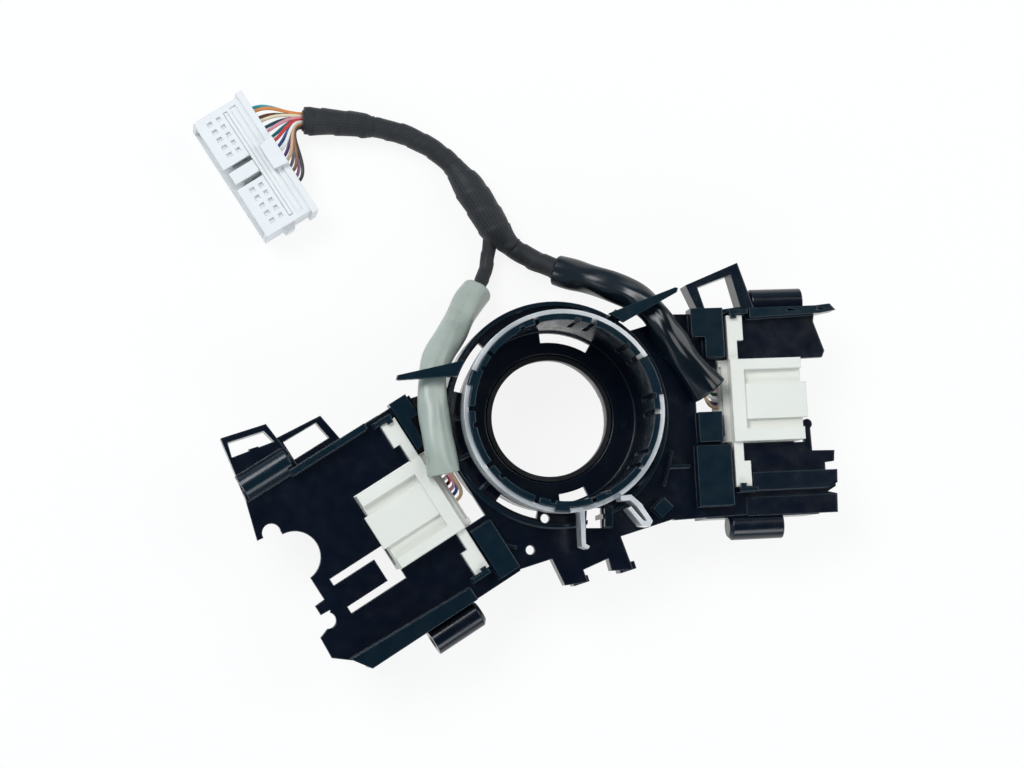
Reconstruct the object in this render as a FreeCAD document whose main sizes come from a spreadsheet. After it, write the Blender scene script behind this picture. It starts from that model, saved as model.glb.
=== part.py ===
import FreeCAD, Part
import math
import os
import types

import Sketcher

# Steering angle sensor built into a steering-column switch base, millimetres.
# Z runs along the steering shaft; z = 0 is the sensor cover that faces the wheel.
# X spans the two wings, the rotor turns about the Z axis.

Vector = FreeCAD.Vector
Rotation = FreeCAD.Rotation
Placement = FreeCAD.Placement
UP = Vector(0, 0, 1)

DOC = FreeCAD.newDocument("steering_angle_sensor")

# Driving sizes: alias, value, meaning
SIZES = [
    ("cover_thick", 2.0, "sensor cover plate"),
    ("floor_thick", 2.0, "sensor floor round the rotor"),
    ("skirt_radius", 25.6, "outside of the round sensor wall"),
    ("skirt_wall", 1.2, "thickness of the sensor wall"),
    ("lobe_inner", 14.0, "gear lobe start along X"),
    ("lobe_outer", 38.5, "gear lobe end along X"),
    ("lobe_low", 27.0, "gear lobe reach below the axis"),
    ("lobe_high", 7.5, "gear lobe reach above the axis"),
    ("boss_radius", 2.3, "cover screw boss"),
    ("screw_radius", 0.9, "cover screw shank"),
    ("screw_length", 6.5, "depth of the screw holes"),
    ("boss_reach", 27.7, "distance of the screw bosses from the axis"),
    ("collar_bore", 29.5, "collar inside radius, round the column tube"),
    ("collar_wall", 2.0, "collar wall"),
    ("collar_high", 41.5, "height of the collar fingers"),
    ("finger_count", 10, "collar fingers"),
    ("finger_gap", 1.6, "slit between two fingers"),
    ("finger_root", 25.6, "level where the slits start"),
    ("grip_groove", 0.5, "depth of the relief grooves in the collar"),
    ("band_thick", 1.5, "clamp band strip"),
    ("band_width", 8.0, "clamp band height"),
    ("band_drop", 0.9, "collar fingers above the band"),
    ("band_gap", 0.1, "play between collar and band"),
    ("ear_length", 11.4, "clamp band ear"),
    ("rim_radius", 37.6, "outside of the outer rim"),
    ("rim_wall", 1.4, "outer rim wall"),
    ("rim_low", 14.0, "lower edge of the outer rim"),
    ("rim_rise", 2.5, "outer rim above the plate"),
    ("plate_level", 22.0, "underside of the plates"),
    ("plate_thick", 2.5, "plate thickness"),
    ("wall_thick", 2.0, "side walls of the stalk channels"),
    ("channel_low", 5.0, "lower edge of the channel walls"),
    ("droop", 15.0, "droop of each wing in degrees"),
    ("body_low", 44.8, "lower edge of the centre plate"),
    ("body_high", 19.5, "upper edge of the centre plate"),
    ("right_end", 11.2, "right wing past its connector"),
    ("left_end", 34.1, "left wing past its connector"),
    ("wing_edge", 2.7, "upper edge of the wings past the connector arms"),
    ("wing_low", 36.6, "lower edge of the wings"),
    ("channel_start", 50.0, "inner end of the stalk channels"),
    ("block_high", 28.5, "top of the connector blocks"),
    ("block_wall", 1.6, "walls of the hollow blocks"),
    ("right_plug_reach", 59.3, "right connector along its wing"),
    ("right_plug_shift", 2.3, "right connector above the wing line"),
    ("left_plug_reach", 46.4, "left connector along its wing"),
    ("left_plug_shift", -0.9, "left connector above the wing line"),
    ("arm_half", 28.8, "half length of the connector arms"),
    ("arm_wide", 3.2, "connector arm width"),
    ("arm_thick", 3.0, "connector arm thickness"),
    ("hook_out", 2.2, "hook at the end of an arm"),
    ("hook_long", 8.5, "hook length along the arm"),
    ("plug_half", 13.8, "half width of a stalk connector"),
    ("plug_long", 24.5, "length of a stalk connector"),
    ("plug_low", 12.0, "underside of a stalk connector"),
    ("plug_top", 29.0, "rims of a stalk connector"),
    ("plug_wall", 1.7, "stalk connector walls"),
    ("plug_play", 0.3, "play of a connector in its window"),
    ("holder_thick", 3.2, "wire holder behind a connector"),
    ("holder_top", 24.9, "top of the wire holder"),
    ("pin_count", 7, "terminals in a row of a stalk connector"),
    ("pin_pitch", 2.4, "terminal spacing"),
    ("pin_side", 0.8, "terminal thickness"),
    ("pin_reach", 9.0, "terminal length in the socket"),
    ("tube_radius", 4.6, "shroud screw tube"),
    ("tube_bore", 2.2, "hole in a screw tube"),
    ("tube_long", 18.5, "length of a screw tube"),
    ("tube_drop", 3.6, "screw tube axis below the plate top"),
    ("tube_raise", 3.0, "left upper screw tube above the others"),
    ("tongue_wide", 8.2, "sprung tongue in the left wing"),
    ("tongue_slot", 2.4, "slot beside the tongue"),
    ("tongue_long", 15.5, "length of the tongue"),
    ("bite_radius", 8.3, "round bite in the left wing edge"),
    ("loop_bar", 2.6, "bars of the wire loops"),
    ("loop_depth", 8.0, "depth of the wire loops along Z"),
    ("hook_level", 34.9, "underside of the cable hooks"),
    ("hook_thick", 2.2, "cable hook thickness"),
    ("hook_wide", 3.4, "cable hook width"),
    ("hole_radius", 1.5, "locating holes in the centre plate"),
    ("slot_out", 28.9, "outer radius of the floor slots"),
    ("flange_slot_in", 32.3, "inner radius of the rim slots"),
    ("flange_slot_out", 35.0, "outer radius of the rim slots"),
    ("rib_thick", 1.1, "stiffening ribs"),
    ("rib_rise", 1.6, "ribs above the plate"),
    ("shaft_bore", 19.7, "rotor bore radius, clears the steering shaft"),
    ("rotor_sleeve", 21.4, "rotor sleeve outside radius"),
    ("rotor_play", 0.4, "radial play of the rotor"),
    ("rotor_drop", 0.2, "rotor end below the floor's upper face"),
    ("bore_land", 3.0, "length of the narrow bore land"),
    ("drive_slot", 4.0, "drive slots in the rotor end"),
    ("tooth_module", 0.8, "gear module"),
    ("rotor_teeth", 57, "teeth of the rotor gear"),
    ("gear_a_teeth", 12, "teeth of measuring gear A"),
    ("gear_b_teeth", 13, "teeth of measuring gear B"),
    ("gear_backlash", 0.24, "play between the teeth"),
    ("gear_width", 2.6, "tooth width along Z"),
    ("gear_level", 4.2, "underside of the gears"),
    ("web_thick", 0.9, "rotor flange under the teeth"),
    ("spindle_radius", 1.35, "gear pins of the cover"),
    ("spindle_play", 0.15, "play of a gear on its pin"),
    ("magnet_radius", 2.2, "measuring magnet"),
    ("magnet_thick", 0.9, "measuring magnet thickness"),
    ("board_thick", 1.0, "circuit board"),
    ("chip_high", 0.9, "chip height"),
    ("chip_side", 4.0, "hall chip side"),
    ("header_wide", 11.4, "width of the board connector"),
    ("board_play", 0.1, "gap between board and sensor floor"),
    ("sensor_gap", 0.4, "air gap between magnet and chip"),
    ("left_sleeve_radius", 4.5, "grey sleeve outside"),
    ("right_sleeve_radius", 4.8, "black sleeve outside"),
    ("sleeve_wall", 0.8, "sleeve wall"),
    ("cord_radius", 3.5, "taped trunk"),
    ("branch_radius", 2.4, "taped left branch"),
    ("wrap_radius", 4.7, "tape wrap at the Y"),
    ("end_wrap_radius", 4.4, "tape wrap at the plug end"),
    ("wire_radius", 0.75, "single wire"),
    ("main_long", 47.5, "main plug length"),
    ("main_deep", 17.2, "main plug depth without its flange"),
    ("main_high", 12.6, "main plug height"),
    ("main_wall", 1.6, "main plug walls"),
    ("main_flange", 2.3, "flange on the wire side"),
    ("main_cavity", 11.5, "depth of the main plug socket"),
    ("main_pins", 8, "terminals in a row of the main plug"),
    ("main_wires", 16, "loose wires at the main plug"),
    ("main_pitch", 2.2, "terminal spacing of the main plug"),
    ("latch_bay", 8.0, "width of the latch bay"),
]


class Size:
    """A number together with the sheet expression that gives it."""

    def __init__(self, value, text):
        self.value = float(value)
        self.text = text

    def join(self, other, sign, value):
        return Size(value, "(" + self.text + " " + sign + " " + other.text + ")")

    def __add__(self, other):
        other = as_size(other)
        return self.join(other, "+", self.value + other.value)

    def __sub__(self, other):
        other = as_size(other)
        return self.join(other, "-", self.value - other.value)

    def __mul__(self, other):
        other = as_size(other)
        return self.join(other, "*", self.value * other.value)

    def __truediv__(self, other):
        other = as_size(other)
        return self.join(other, "/", self.value / other.value)

    def __radd__(self, other):
        return as_size(other) + self

    def __rsub__(self, other):
        return as_size(other) - self

    def __rmul__(self, other):
        return as_size(other) * self

    def __rtruediv__(self, other):
        return as_size(other) / self

    def __neg__(self):
        return as_size(0) - self


def as_size(number):
    """Bare numbers and sheet sizes in the same form."""
    if isinstance(number, Size):
        return number
    return Size(number, "(" + repr(float(number)) + ")")


def cosine(angle):
    """Cosine of an angle in degrees, kept as an expression."""
    return Size(math.cos(math.radians(angle.value)), "cos(" + angle.text + " * 1 deg)")


def sine(angle):
    """Sine of an angle in degrees, kept as an expression."""
    return Size(math.sin(math.radians(angle.value)), "sin(" + angle.text + " * 1 deg)")


def fill_sheet():
    """Writes the sheet and returns its sizes by name."""
    sheet = DOC.addObject("Spreadsheet::Sheet", "Sizes")
    named = {}
    for row, (alias, number, meaning) in enumerate(SIZES, 1):
        sheet.set("A" + str(row), meaning)
        sheet.set("B" + str(row), str(number))
        sheet.setAlias("B" + str(row), alias)
        named[alias] = Size(number, "Sizes." + alias)
    DOC.recompute()
    return types.SimpleNamespace(**named)


S = fill_sheet()
PIECES = []

# Levels that several pieces share
MAGNET_LOW = S.gear_level + S.gear_width + 0.2
CHIP_LOW = MAGNET_LOW + S.magnet_thick + S.sensor_gap
BOARD_LOW = CHIP_LOW + S.chip_high
BOARD_TOP = BOARD_LOW + S.board_thick
FLOOR_LOW = BOARD_TOP + S.board_play
FLOOR_TOP = FLOOR_LOW + S.floor_thick
PLATE_TOP = S.plate_level + S.plate_thick
COLLAR_OUT = S.collar_bore + S.collar_wall
RIM_TOP = PLATE_TOP + S.rim_rise
BAND_TOP = S.collar_high - S.band_drop
BAND_LOW = BAND_TOP - S.band_width
LOBE_WALL = as_size(1.8)
WING_TOP = S.arm_half + S.wing_edge
TOP_TUBE_START = as_size(68.5)
TUBE_RISE = as_size(4.4)
RIGHT_REACH = S.right_plug_reach + S.plug_long + S.right_end
LEFT_REACH = S.left_plug_reach + S.plug_long + S.left_end
HEADER_X = as_size(26.5)
RIGHT, LEFT = 1, -1


def keep(piece, label):
    """Names a finished sub-part."""
    piece.Label = label
    PIECES.append(piece)
    return piece


def new_body(name):
    """Empty body for one moulding or pressing."""
    return DOC.addObject("PartDesign::Body", name)


def origin_item(body, role):
    """One of the body's own origin planes or axes."""
    return [item for item in body.Origin.OriginFeatures if item.Role == role][0]


def bind(item, path, size):
    """Ties one property to the sheet."""
    item.setExpression(path, as_size(size).text)


def pin_point(sketch, geometry, corner, x, y, rules):
    """Holds a sketch point at its place from the origin."""
    for kind, axis, size in (("DistanceX", -2, as_size(x)), ("DistanceY", -1, as_size(y))):
        if abs(size.value) < 1e-9:
            rules.append((Sketcher.Constraint("PointOnObject", geometry, corner, axis), None))
        else:
            rule = Sketcher.Constraint(kind, -1, 1, geometry, corner, size.value)
            rules.append((rule, size))


def draw_circle(sketch, loop, rules):
    """Circle with its centre and radius tied."""
    x, y, radius = (as_size(part) for part in loop[1:])
    circle = Part.Circle(Vector(x.value, y.value, 0), UP, radius.value)
    index = sketch.addGeometry(circle, False)
    pin_point(sketch, index, 3, x, y, rules)
    rules.append((Sketcher.Constraint("Radius", index, radius.value), radius))


def draw_polygon(sketch, corners, rules):
    """Closed outline with every corner tied."""
    corners = [(as_size(x), as_size(y)) for x, y in corners]
    spots = [Vector(x.value, y.value, 0) for x, y in corners]
    first = sketch.GeometryCount
    count = len(spots)
    for number, spot in enumerate(spots):
        sketch.addGeometry(Part.LineSegment(spot, spots[(number + 1) % count]), False)
    for number, (x, y) in enumerate(corners):
        following = first + (number + 1) % count
        joint = Sketcher.Constraint("Coincident", first + number, 2, following, 1)
        rules.append((joint, None))
        pin_point(sketch, first + number, 1, x, y, rules)


def box(x_low, x_high, y_low, y_high):
    """Rectangle outline for a sketch."""
    return [(x_low, y_low), (x_high, y_low), (x_high, y_high), (x_low, y_high)]


def disc(x, y, radius):
    """Circle outline for a sketch."""
    return ("disc", x, y, radius)


def fill_sketch(sketch, loops):
    """Adds closed loops to a sketch and ties them to the sheet."""
    rules = []
    for loop in loops:
        if loop[0] == "disc":
            draw_circle(sketch, loop, rules)
        else:
            draw_polygon(sketch, loop, rules)
    sketch.addConstraint([rule for rule, size in rules])
    for index, (rule, size) in enumerate(rules):
        if size is not None and "Sizes." in size.text:
            sketch.setExpression("Constraints[" + str(index) + "]", size.text)


def draw(body, name, role, loops, lift=0, turn=0, axis=UP):
    """Sketch of closed loops on one of the body's origin planes."""
    lift, turn = as_size(lift), as_size(turn)
    sketch = body.newObject("Sketcher::SketchObject", name)
    sketch.AttachmentSupport = [(origin_item(body, role), "")]
    sketch.MapMode = "FlatFace"
    sketch.AttachmentOffset = Placement(Vector(0, 0, lift.value), Rotation(axis, turn.value))
    sketch.setExpression("AttachmentOffset.Base.z", lift.text)
    if turn.value:
        sketch.setExpression("AttachmentOffset.Rotation.Angle", turn.text)
    fill_sketch(sketch, loops)
    return sketch


def pad(body, name, loops, low, high, turn=0):
    """Material between two levels."""
    low, high = as_size(low), as_size(high)
    feature = body.newObject("PartDesign::Pad", name)
    feature.Profile = draw(body, name + "_outline", "XY_Plane", loops, low, turn)
    feature.Length = high.value - low.value
    bind(feature, "Length", high - low)
    return feature


def pocket(body, name, loops, low, high, turn=0):
    """Cut between two levels."""
    low, high = as_size(low), as_size(high)
    feature = body.newObject("PartDesign::Pocket", name)
    feature.Profile = draw(body, name + "_outline", "XY_Plane", loops, high, turn)
    feature.Length = high.value - low.value
    bind(feature, "Length", high - low)
    return feature


def revolve(body, name, loops, centre=0, span=360, cut=False):
    """Section in the radius-height plane, turned about Z to both sides of a direction."""
    kind = "PartDesign::Groove" if cut else "PartDesign::Revolution"
    feature = body.newObject(kind, name)
    feature.Profile = draw(body, name + "_section", "XZ_Plane", loops, 0, centre, Vector(0, 1, 0))
    feature.ReferenceAxis = (origin_item(body, "Z_Axis"), [""])
    feature.Angle = as_size(span).value
    feature.Midplane = True
    return feature


def row(body, name, feature, length, count):
    """Copies of a feature in a straight row along Y."""
    pattern = body.newObject("PartDesign::LinearPattern", name)
    pattern.Originals = [feature]
    pattern.Direction = (origin_item(body, "Y_Axis"), [""])
    pattern.Length = as_size(length).value
    bind(pattern, "Length", length)
    pattern.Occurrences = int(as_size(count).value)
    if isinstance(count, Size):
        bind(pattern, "Occurrences", count)
    body.Tip = pattern
    return pattern


def on_wing(side, corners):
    """Corners given as reach and height on a wing, in the sketch frame of that wing."""
    return [(as_size(side) * along, across) for along, across in corners]


def wing_turn(side):
    """Turn of a wing's sketch frame."""
    return as_size(-side) * S.droop


def wing_spot(side, along, across):
    """Point on a wing in the part's own frame."""
    along, across = as_size(along), as_size(across)
    x = (along * cosine(S.droop) + across * sine(S.droop)) * side
    y = across * cosine(S.droop) - along * sine(S.droop)
    return x, y


def polar(radius, degrees):
    """Point at a radius and a heading round the axis."""
    heading = as_size(degrees)
    return radius * cosine(heading), radius * sine(heading)


class Moulding:
    """Extruded and turned solids that are fused and cut into one moulding."""

    def __init__(self, name):
        self.name = name
        self.stage = 0
        self.added = []
        self.removed = []

    def sketch(self, name, loops, place):
        """Tied outline standing free in the document."""
        sketch = DOC.addObject("Sketcher::SketchObject", name + "_outline")
        sketch.Placement = place
        fill_sketch(sketch, loops)
        return sketch

    def prism(self, name, loops, low, high, turn):
        """Extrusion between two levels."""
        low, high, turn = as_size(low), as_size(high), as_size(turn)
        place = Placement(Vector(0, 0, low.value), Rotation(UP, turn.value))
        sketch = self.sketch(name, loops, place)
        bind(sketch, "Placement.Base.z", low)
        if "Sizes." in turn.text:
            bind(sketch, "Placement.Rotation.Angle", turn)
        solid = DOC.addObject("Part::Extrusion", name)
        solid.Base = sketch
        solid.DirMode = "Custom"
        solid.Dir = UP
        solid.Solid = True
        solid.FaceMakerClass = "Part::FaceMakerBullseye"
        solid.LengthFwd = high.value - low.value
        bind(solid, "LengthFwd", high - low)
        return solid

    def pad(self, name, loops, low, high, turn=0):
        """Adds material between two levels."""
        self.added.append(self.prism(name, loops, low, high, turn))

    def pocket(self, name, loops, low, high, turn=0):
        """Cuts between two levels."""
        self.removed.append(self.prism(name, loops, low, high, turn))

    def revolve(self, name, loops, centre=0, span=360, cut=False):
        """Turns a radius-height section about Z, to both sides of a direction."""
        turn = Rotation(UP, centre - span / 2) * Rotation(Vector(1, 0, 0), 90)
        solid = DOC.addObject("Part::Revolution", name)
        solid.Source = self.sketch(name, loops, Placement(Vector(0, 0, 0), turn))
        solid.Axis = UP
        solid.Base = Vector(0, 0, 0)
        solid.Angle = span
        solid.Solid = True
        solid.FaceMakerClass = "Part::FaceMakerBullseye"
        (self.removed if cut else self.added).append(solid)

    def bar(self, name, side, near, across, level, radius, length, end_radius=None, cut=False):
        """Round bar or cone along a wing."""
        x, y = wing_spot(side, near, across)
        heading = Vector(side * math.cos(math.radians(S.droop.value)),
                         -math.sin(math.radians(S.droop.value)), 0)
        kind = "Part::Cone" if end_radius is not None else "Part::Cylinder"
        solid = DOC.addObject(kind, name)
        if end_radius is None:
            bind(solid, "Radius", radius)
        else:
            bind(solid, "Radius1", radius)
            bind(solid, "Radius2", end_radius)
        bind(solid, "Height", length)
        solid.Placement = Placement(Vector(x.value, y.value, as_size(level).value),
                                    Rotation(UP, heading))
        bind(solid, "Placement.Base.x", x)
        bind(solid, "Placement.Base.y", y)
        bind(solid, "Placement.Base.z", level)
        (self.removed if cut else self.added).append(solid)

    def settle(self):
        """Fuses what was added and cuts what was removed."""
        self.stage += 1
        mark = self.name + "_stage_" + str(self.stage)
        fused = DOC.addObject("Part::MultiFuse", mark + "_fused")
        fused.Shapes = self.added
        fused.Refine = False
        cutter = DOC.addObject("Part::MultiFuse", mark + "_cutters")
        cutter.Shapes = self.removed
        cutter.Refine = False
        result = DOC.addObject("Part::Cut", mark)
        result.Base = fused
        result.Tool = cutter
        result.Refine = True
        self.added, self.removed = [result], []
        return result


def bracket_sensor_box(mould):
    """Round sensor floor with its gear lobe, wall and rotor opening."""
    lobe = box(S.lobe_inner, S.lobe_outer, -S.lobe_low, S.lobe_high)
    inside = box(S.lobe_inner, S.lobe_outer - LOBE_WALL, LOBE_WALL - S.lobe_low,
                 S.lobe_high - LOBE_WALL)
    mould.pad("sensor_floor", [disc(0, 0, COLLAR_OUT)], FLOOR_LOW, FLOOR_TOP)
    mould.pad("sensor_wall", [disc(0, 0, S.skirt_radius)], S.cover_thick, FLOOR_LOW)
    mould.pad("lobe_wall", [lobe], S.cover_thick, FLOOR_TOP)
    mould.pocket("round_cavity", [disc(0, 0, S.skirt_radius - S.skirt_wall)], S.cover_thick, FLOOR_LOW)
    mould.pocket("lobe_cavity", [inside], S.cover_thick, FLOOR_LOW)
    mould.pocket("rotor_opening", [disc(0, 0, S.rotor_sleeve + S.rotor_play)], FLOOR_LOW, FLOOR_TOP)
    half = S.header_wide / 2 + 0.1
    outlet = box(HEADER_X - half, HEADER_X + half, -S.lobe_low - 0.2, LOBE_WALL - S.lobe_low + 0.2)
    mould.pocket("outlet_window", [outlet], S.cover_thick, BOARD_LOW)


def bracket_bosses(mould):
    """Screw bosses round the sensor wall and stakes for the board."""
    for number, (x, y) in enumerate(BOSSES):
        mould.pad("cover_boss_" + str(number + 1), [disc(x, y, S.boss_radius)],
                  S.cover_thick, FLOOR_TOP)
        mould.pocket("boss_hole_" + str(number + 1), [disc(x, y, S.screw_radius)],
                     S.cover_thick, SCREW_END)
    for number, (x, y) in enumerate(STAKES):
        mould.pad("board_stake_" + str(number + 1), [disc(x, y, 1.0)], BOARD_LOW - 0.6, FLOOR_LOW)


def bracket_collar(mould):
    """Sprung collar that grips the column tube, with its catches, ledge and slits."""
    mould.pad("collar_wall", [disc(0, 0, COLLAR_OUT), disc(0, 0, S.collar_bore)],
              FLOOR_LOW, S.collar_high)
    lip = [(COLLAR_OUT - 0.4, BAND_TOP + 0.1), (COLLAR_OUT + S.band_thick + 0.1, BAND_TOP + 0.1),
           (COLLAR_OUT + S.band_thick - 0.3, S.collar_high), (COLLAR_OUT - 0.4, S.collar_high)]
    for number, (centre, span) in enumerate(((4, 24), (144, 9), (250, 9))):
        mould.revolve("band_catch_" + str(number + 1), [lip], centre, span)
    ledge = [(COLLAR_OUT - 0.4, BAND_LOW - 2.2), (COLLAR_OUT, BAND_LOW - 2.2),
             (COLLAR_OUT + 1.3, BAND_LOW - 0.1), (COLLAR_OUT - 0.4, BAND_LOW - 0.1)]
    mould.revolve("band_ledge", [ledge])
    count = int(S.finger_count.value)
    groove = box(S.collar_bore - 1, S.collar_bore + S.grip_groove, 4.4, 6.0)
    slit = box(S.collar_bore - 2, COLLAR_OUT + 2, -S.finger_gap / 2, S.finger_gap / 2)
    for number in range(count):
        angle = 90 + 360 * number / count
        mould.pocket("relief_groove_" + str(number + 1), [groove], S.finger_root,
                     S.collar_high + 0.5, angle)
        mould.pocket("finger_slit_" + str(number + 1), [slit], S.finger_root,
                     S.collar_high + 0.5, angle)


def bracket_centre(mould):
    """Ring flange, outer rim and the plate that joins the wings."""
    outline = [(-46.5, S.body_high), (50.5, S.body_high), (51.5, -S.body_low - 4.0),
               (44.6, -S.body_low - 4.2), (30.0, -S.body_low), (-36.3, -S.body_low),
               (-42.6, -S.body_low - 3.0), (-52.0, -36.0)]
    mould.pad("centre_plate", [outline], S.plate_level, PLATE_TOP)
    mould.pad("ring_flange", [disc(0, 0, S.rim_radius)], S.plate_level, PLATE_TOP)
    mould.pad("outer_rim", [disc(0, 0, S.rim_radius), disc(0, 0, S.rim_radius - S.rim_wall)],
        S.rim_low, RIM_TOP)
    mould.pocket("collar_clearance", [disc(0, 0, S.collar_bore)], FLOOR_TOP, PLATE_TOP)
    wall = [(-38.0, -S.body_low), (31.0, -S.body_low), (31.0, S.wall_thick - S.body_low),
            (-38.0, S.wall_thick - S.body_low)]
    mould.pad("lower_edge_wall", [wall], S.rim_low, S.plate_level)


def bracket_wing_plates(mould):
    """Left and right plates with their stepped outer edges."""
    far, tall, low = RIGHT_REACH, WING_TOP, -S.wing_low
    right = [(38, tall + 1), (far - 4, tall), (far - 4.5, tall - 3), (far - 1.2, tall - 13),
             (far - 2.2, tall - 15.2), (far - 14, tall - 15.4), (far - 14, low + 24.4),
             (far - 10.2, low + 24.4), (far - 10.0, low + 29.6), (far - 8.0, low + 29.6),
             (far - 7.8, low + 21.4),
             (far, low + 21.2), (far - 0.4, low + 17.5), (far - 3.6, low + 17.2),
             (far - 3.6, low + 14.6), (far, low + 14.6), (far - 0.4, low + 9.0),
             (far - 3.2, low + 7.4), (far, low + 6.6), (far - 0.2, low + 1.6), (38, low)]
    mould.pad("right_plate", [on_wing(RIGHT, right)], S.plate_level, PLATE_TOP, wing_turn(RIGHT))
    mould.pad("right_post_head", [disc(far - 9.0, low + 30.4, 1.7)], S.plate_level, PLATE_TOP,
        wing_turn(RIGHT))
    far = LEFT_REACH
    left = [(38, tall), (far - 3.7, tall - 1), (far, tall - 13.6), (far - 8.0, tall - 14.6),
            (far - 8.0, low + 27.0), (far - 4.4, low + 26.8), (far - 4.4, low + 23.3),
            (far - 7.8, low + 23.1), (far - 5.5, low + 19.1), (far - 0.4, low + 17.3),
            (far, low + 9.8), (far - 5.8, low + 5.0), (far - 9.2, low), (38, low)]
    mould.pad("left_plate", [on_wing(LEFT, left)], S.plate_level, PLATE_TOP, wing_turn(LEFT))
    bites = [disc(-(far - 7.4), tall - 24.5, S.bite_radius)]
    mould.pocket("left_edge_bite", bites, S.plate_level, PLATE_TOP, wing_turn(LEFT))
    small = [disc(-(far - 5.2), tall - 13.9, 3.0), disc(-(far - 5.4), low + 20.6, 2.6)]
    mould.pocket("left_small_bites", small, S.plate_level, PLATE_TOP, wing_turn(LEFT))


def bracket_channels(mould):
    """Walls below the wings between which the stalk switches slide in."""
    for side, far, name in ((RIGHT, RIGHT_REACH - 6, "right"), (LEFT, LEFT_REACH - 9, "left")):
        start, wall = S.channel_start, S.wall_thick
        upper = [(start, WING_TOP), (far, WING_TOP), (far, WING_TOP - wall),
                 (start, WING_TOP - wall)]
        lower = [(start, -S.wing_low), (far, -S.wing_low), (far, wall - S.wing_low),
                 (start, wall - S.wing_low)]
        guide = [(start + 4, 1.4 - S.wing_low + 9), (far - 4, 1.4 - S.wing_low + 9),
                 (far - 4, 9 - S.wing_low), (start + 4, 9 - S.wing_low)]
        mould.pad(name + "_upper_wall", [on_wing(side, upper)], S.channel_low, S.plate_level,
            wing_turn(side))
        mould.pad(name + "_lower_wall", [on_wing(side, lower)], S.channel_low, S.plate_level,
            wing_turn(side))
        mould.pad(name + "_guide_rib", [on_wing(side, guide)], S.plate_level - 5, S.plate_level,
            wing_turn(side))


def bracket_blocks(mould):
    """Hollow blocks and frames that seat the connector arms."""
    turn_right, turn_left = wing_turn(RIGHT), wing_turn(LEFT)
    arm = S.right_plug_reach
    tall = S.right_plug_shift + S.arm_half
    blocks = [
        ("right_upper_block", RIGHT, arm - 8.0, arm - 1.4, 17.0, tall + 2.6),
        ("right_lower_block", RIGHT, arm - 11.8, arm - S.holder_thick - 0.5, -11.2, -1.2),
        ("right_inner_block", RIGHT, arm - 12.5, arm - 8.0 + S.block_wall, 24.0, tall + 2.6),
        ("right_bottom_block", RIGHT, arm - 13.1, arm - 1.2, 4.0 - S.wing_low, -12.4),
        ("left_upper_block", LEFT, S.left_plug_reach - 3.9, S.left_plug_reach - 0.6, 15.0, 32.4),
        ("left_inner_block", LEFT, S.left_plug_reach - 6.9, S.left_plug_reach - 3.0, 24.5, 32.4),
        ("left_lower_block", LEFT, S.left_plug_reach - 8.4, S.left_plug_reach - 0.8,
         1.5 - S.wing_low, -17.0),
    ]
    for name, side, near, far, low, high in blocks:
        outline = [(near, low), (far, low), (far, high), (near, high)]
        mould.pad(name, [on_wing(side, outline)], S.plate_level, S.block_high, wing_turn(side))
        thin = name in ("left_upper_block", "left_inner_block")
        wall = S.block_wall * 0.6 if thin else S.block_wall
        core = [(near + wall, low + wall), (far - wall, low + wall), (far - wall, high - wall),
                (near + wall, high - wall)]
        mould.pocket(name + "_core", [on_wing(side, core)], S.plate_level,
               S.block_high - S.block_wall, wing_turn(side))
    for side, reach, shift, name, turn in (
            (RIGHT, S.right_plug_reach, S.right_plug_shift, "right", turn_right),
            (LEFT, S.left_plug_reach, S.left_plug_shift, "left", turn_left)):
        end = S.arm_half + 0.3
        for sign, place in ((1, "upper"), (-1, "lower")):
            clip = [(reach + 0.8, shift + end * sign), (reach + S.arm_wide + S.hook_out + 1.8, shift + end * sign),
                    (reach + S.arm_wide + S.hook_out + 1.8, shift + (end + 1.5) * sign),
                    (reach + 0.8, shift + (end + 1.5) * sign)]
            tip = reach + S.arm_wide
            lip = [(reach + 1.2, shift + (end - 1.4) * sign), (tip, shift + (end - 1.4) * sign),
                   (tip, shift + (end + 0.2) * sign), (reach + 1.2, shift + (end + 0.2) * sign)]
            low = PLATE_TOP + S.arm_thick + 0.1
            mould.pad(name + "_" + place + "_stop", [on_wing(side, clip)], PLATE_TOP - 0.5,
                low + 1.2, turn)
            mould.pad(name + "_" + place + "_snap", [on_wing(side, lip)], low, low + 1.2, turn)


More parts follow.
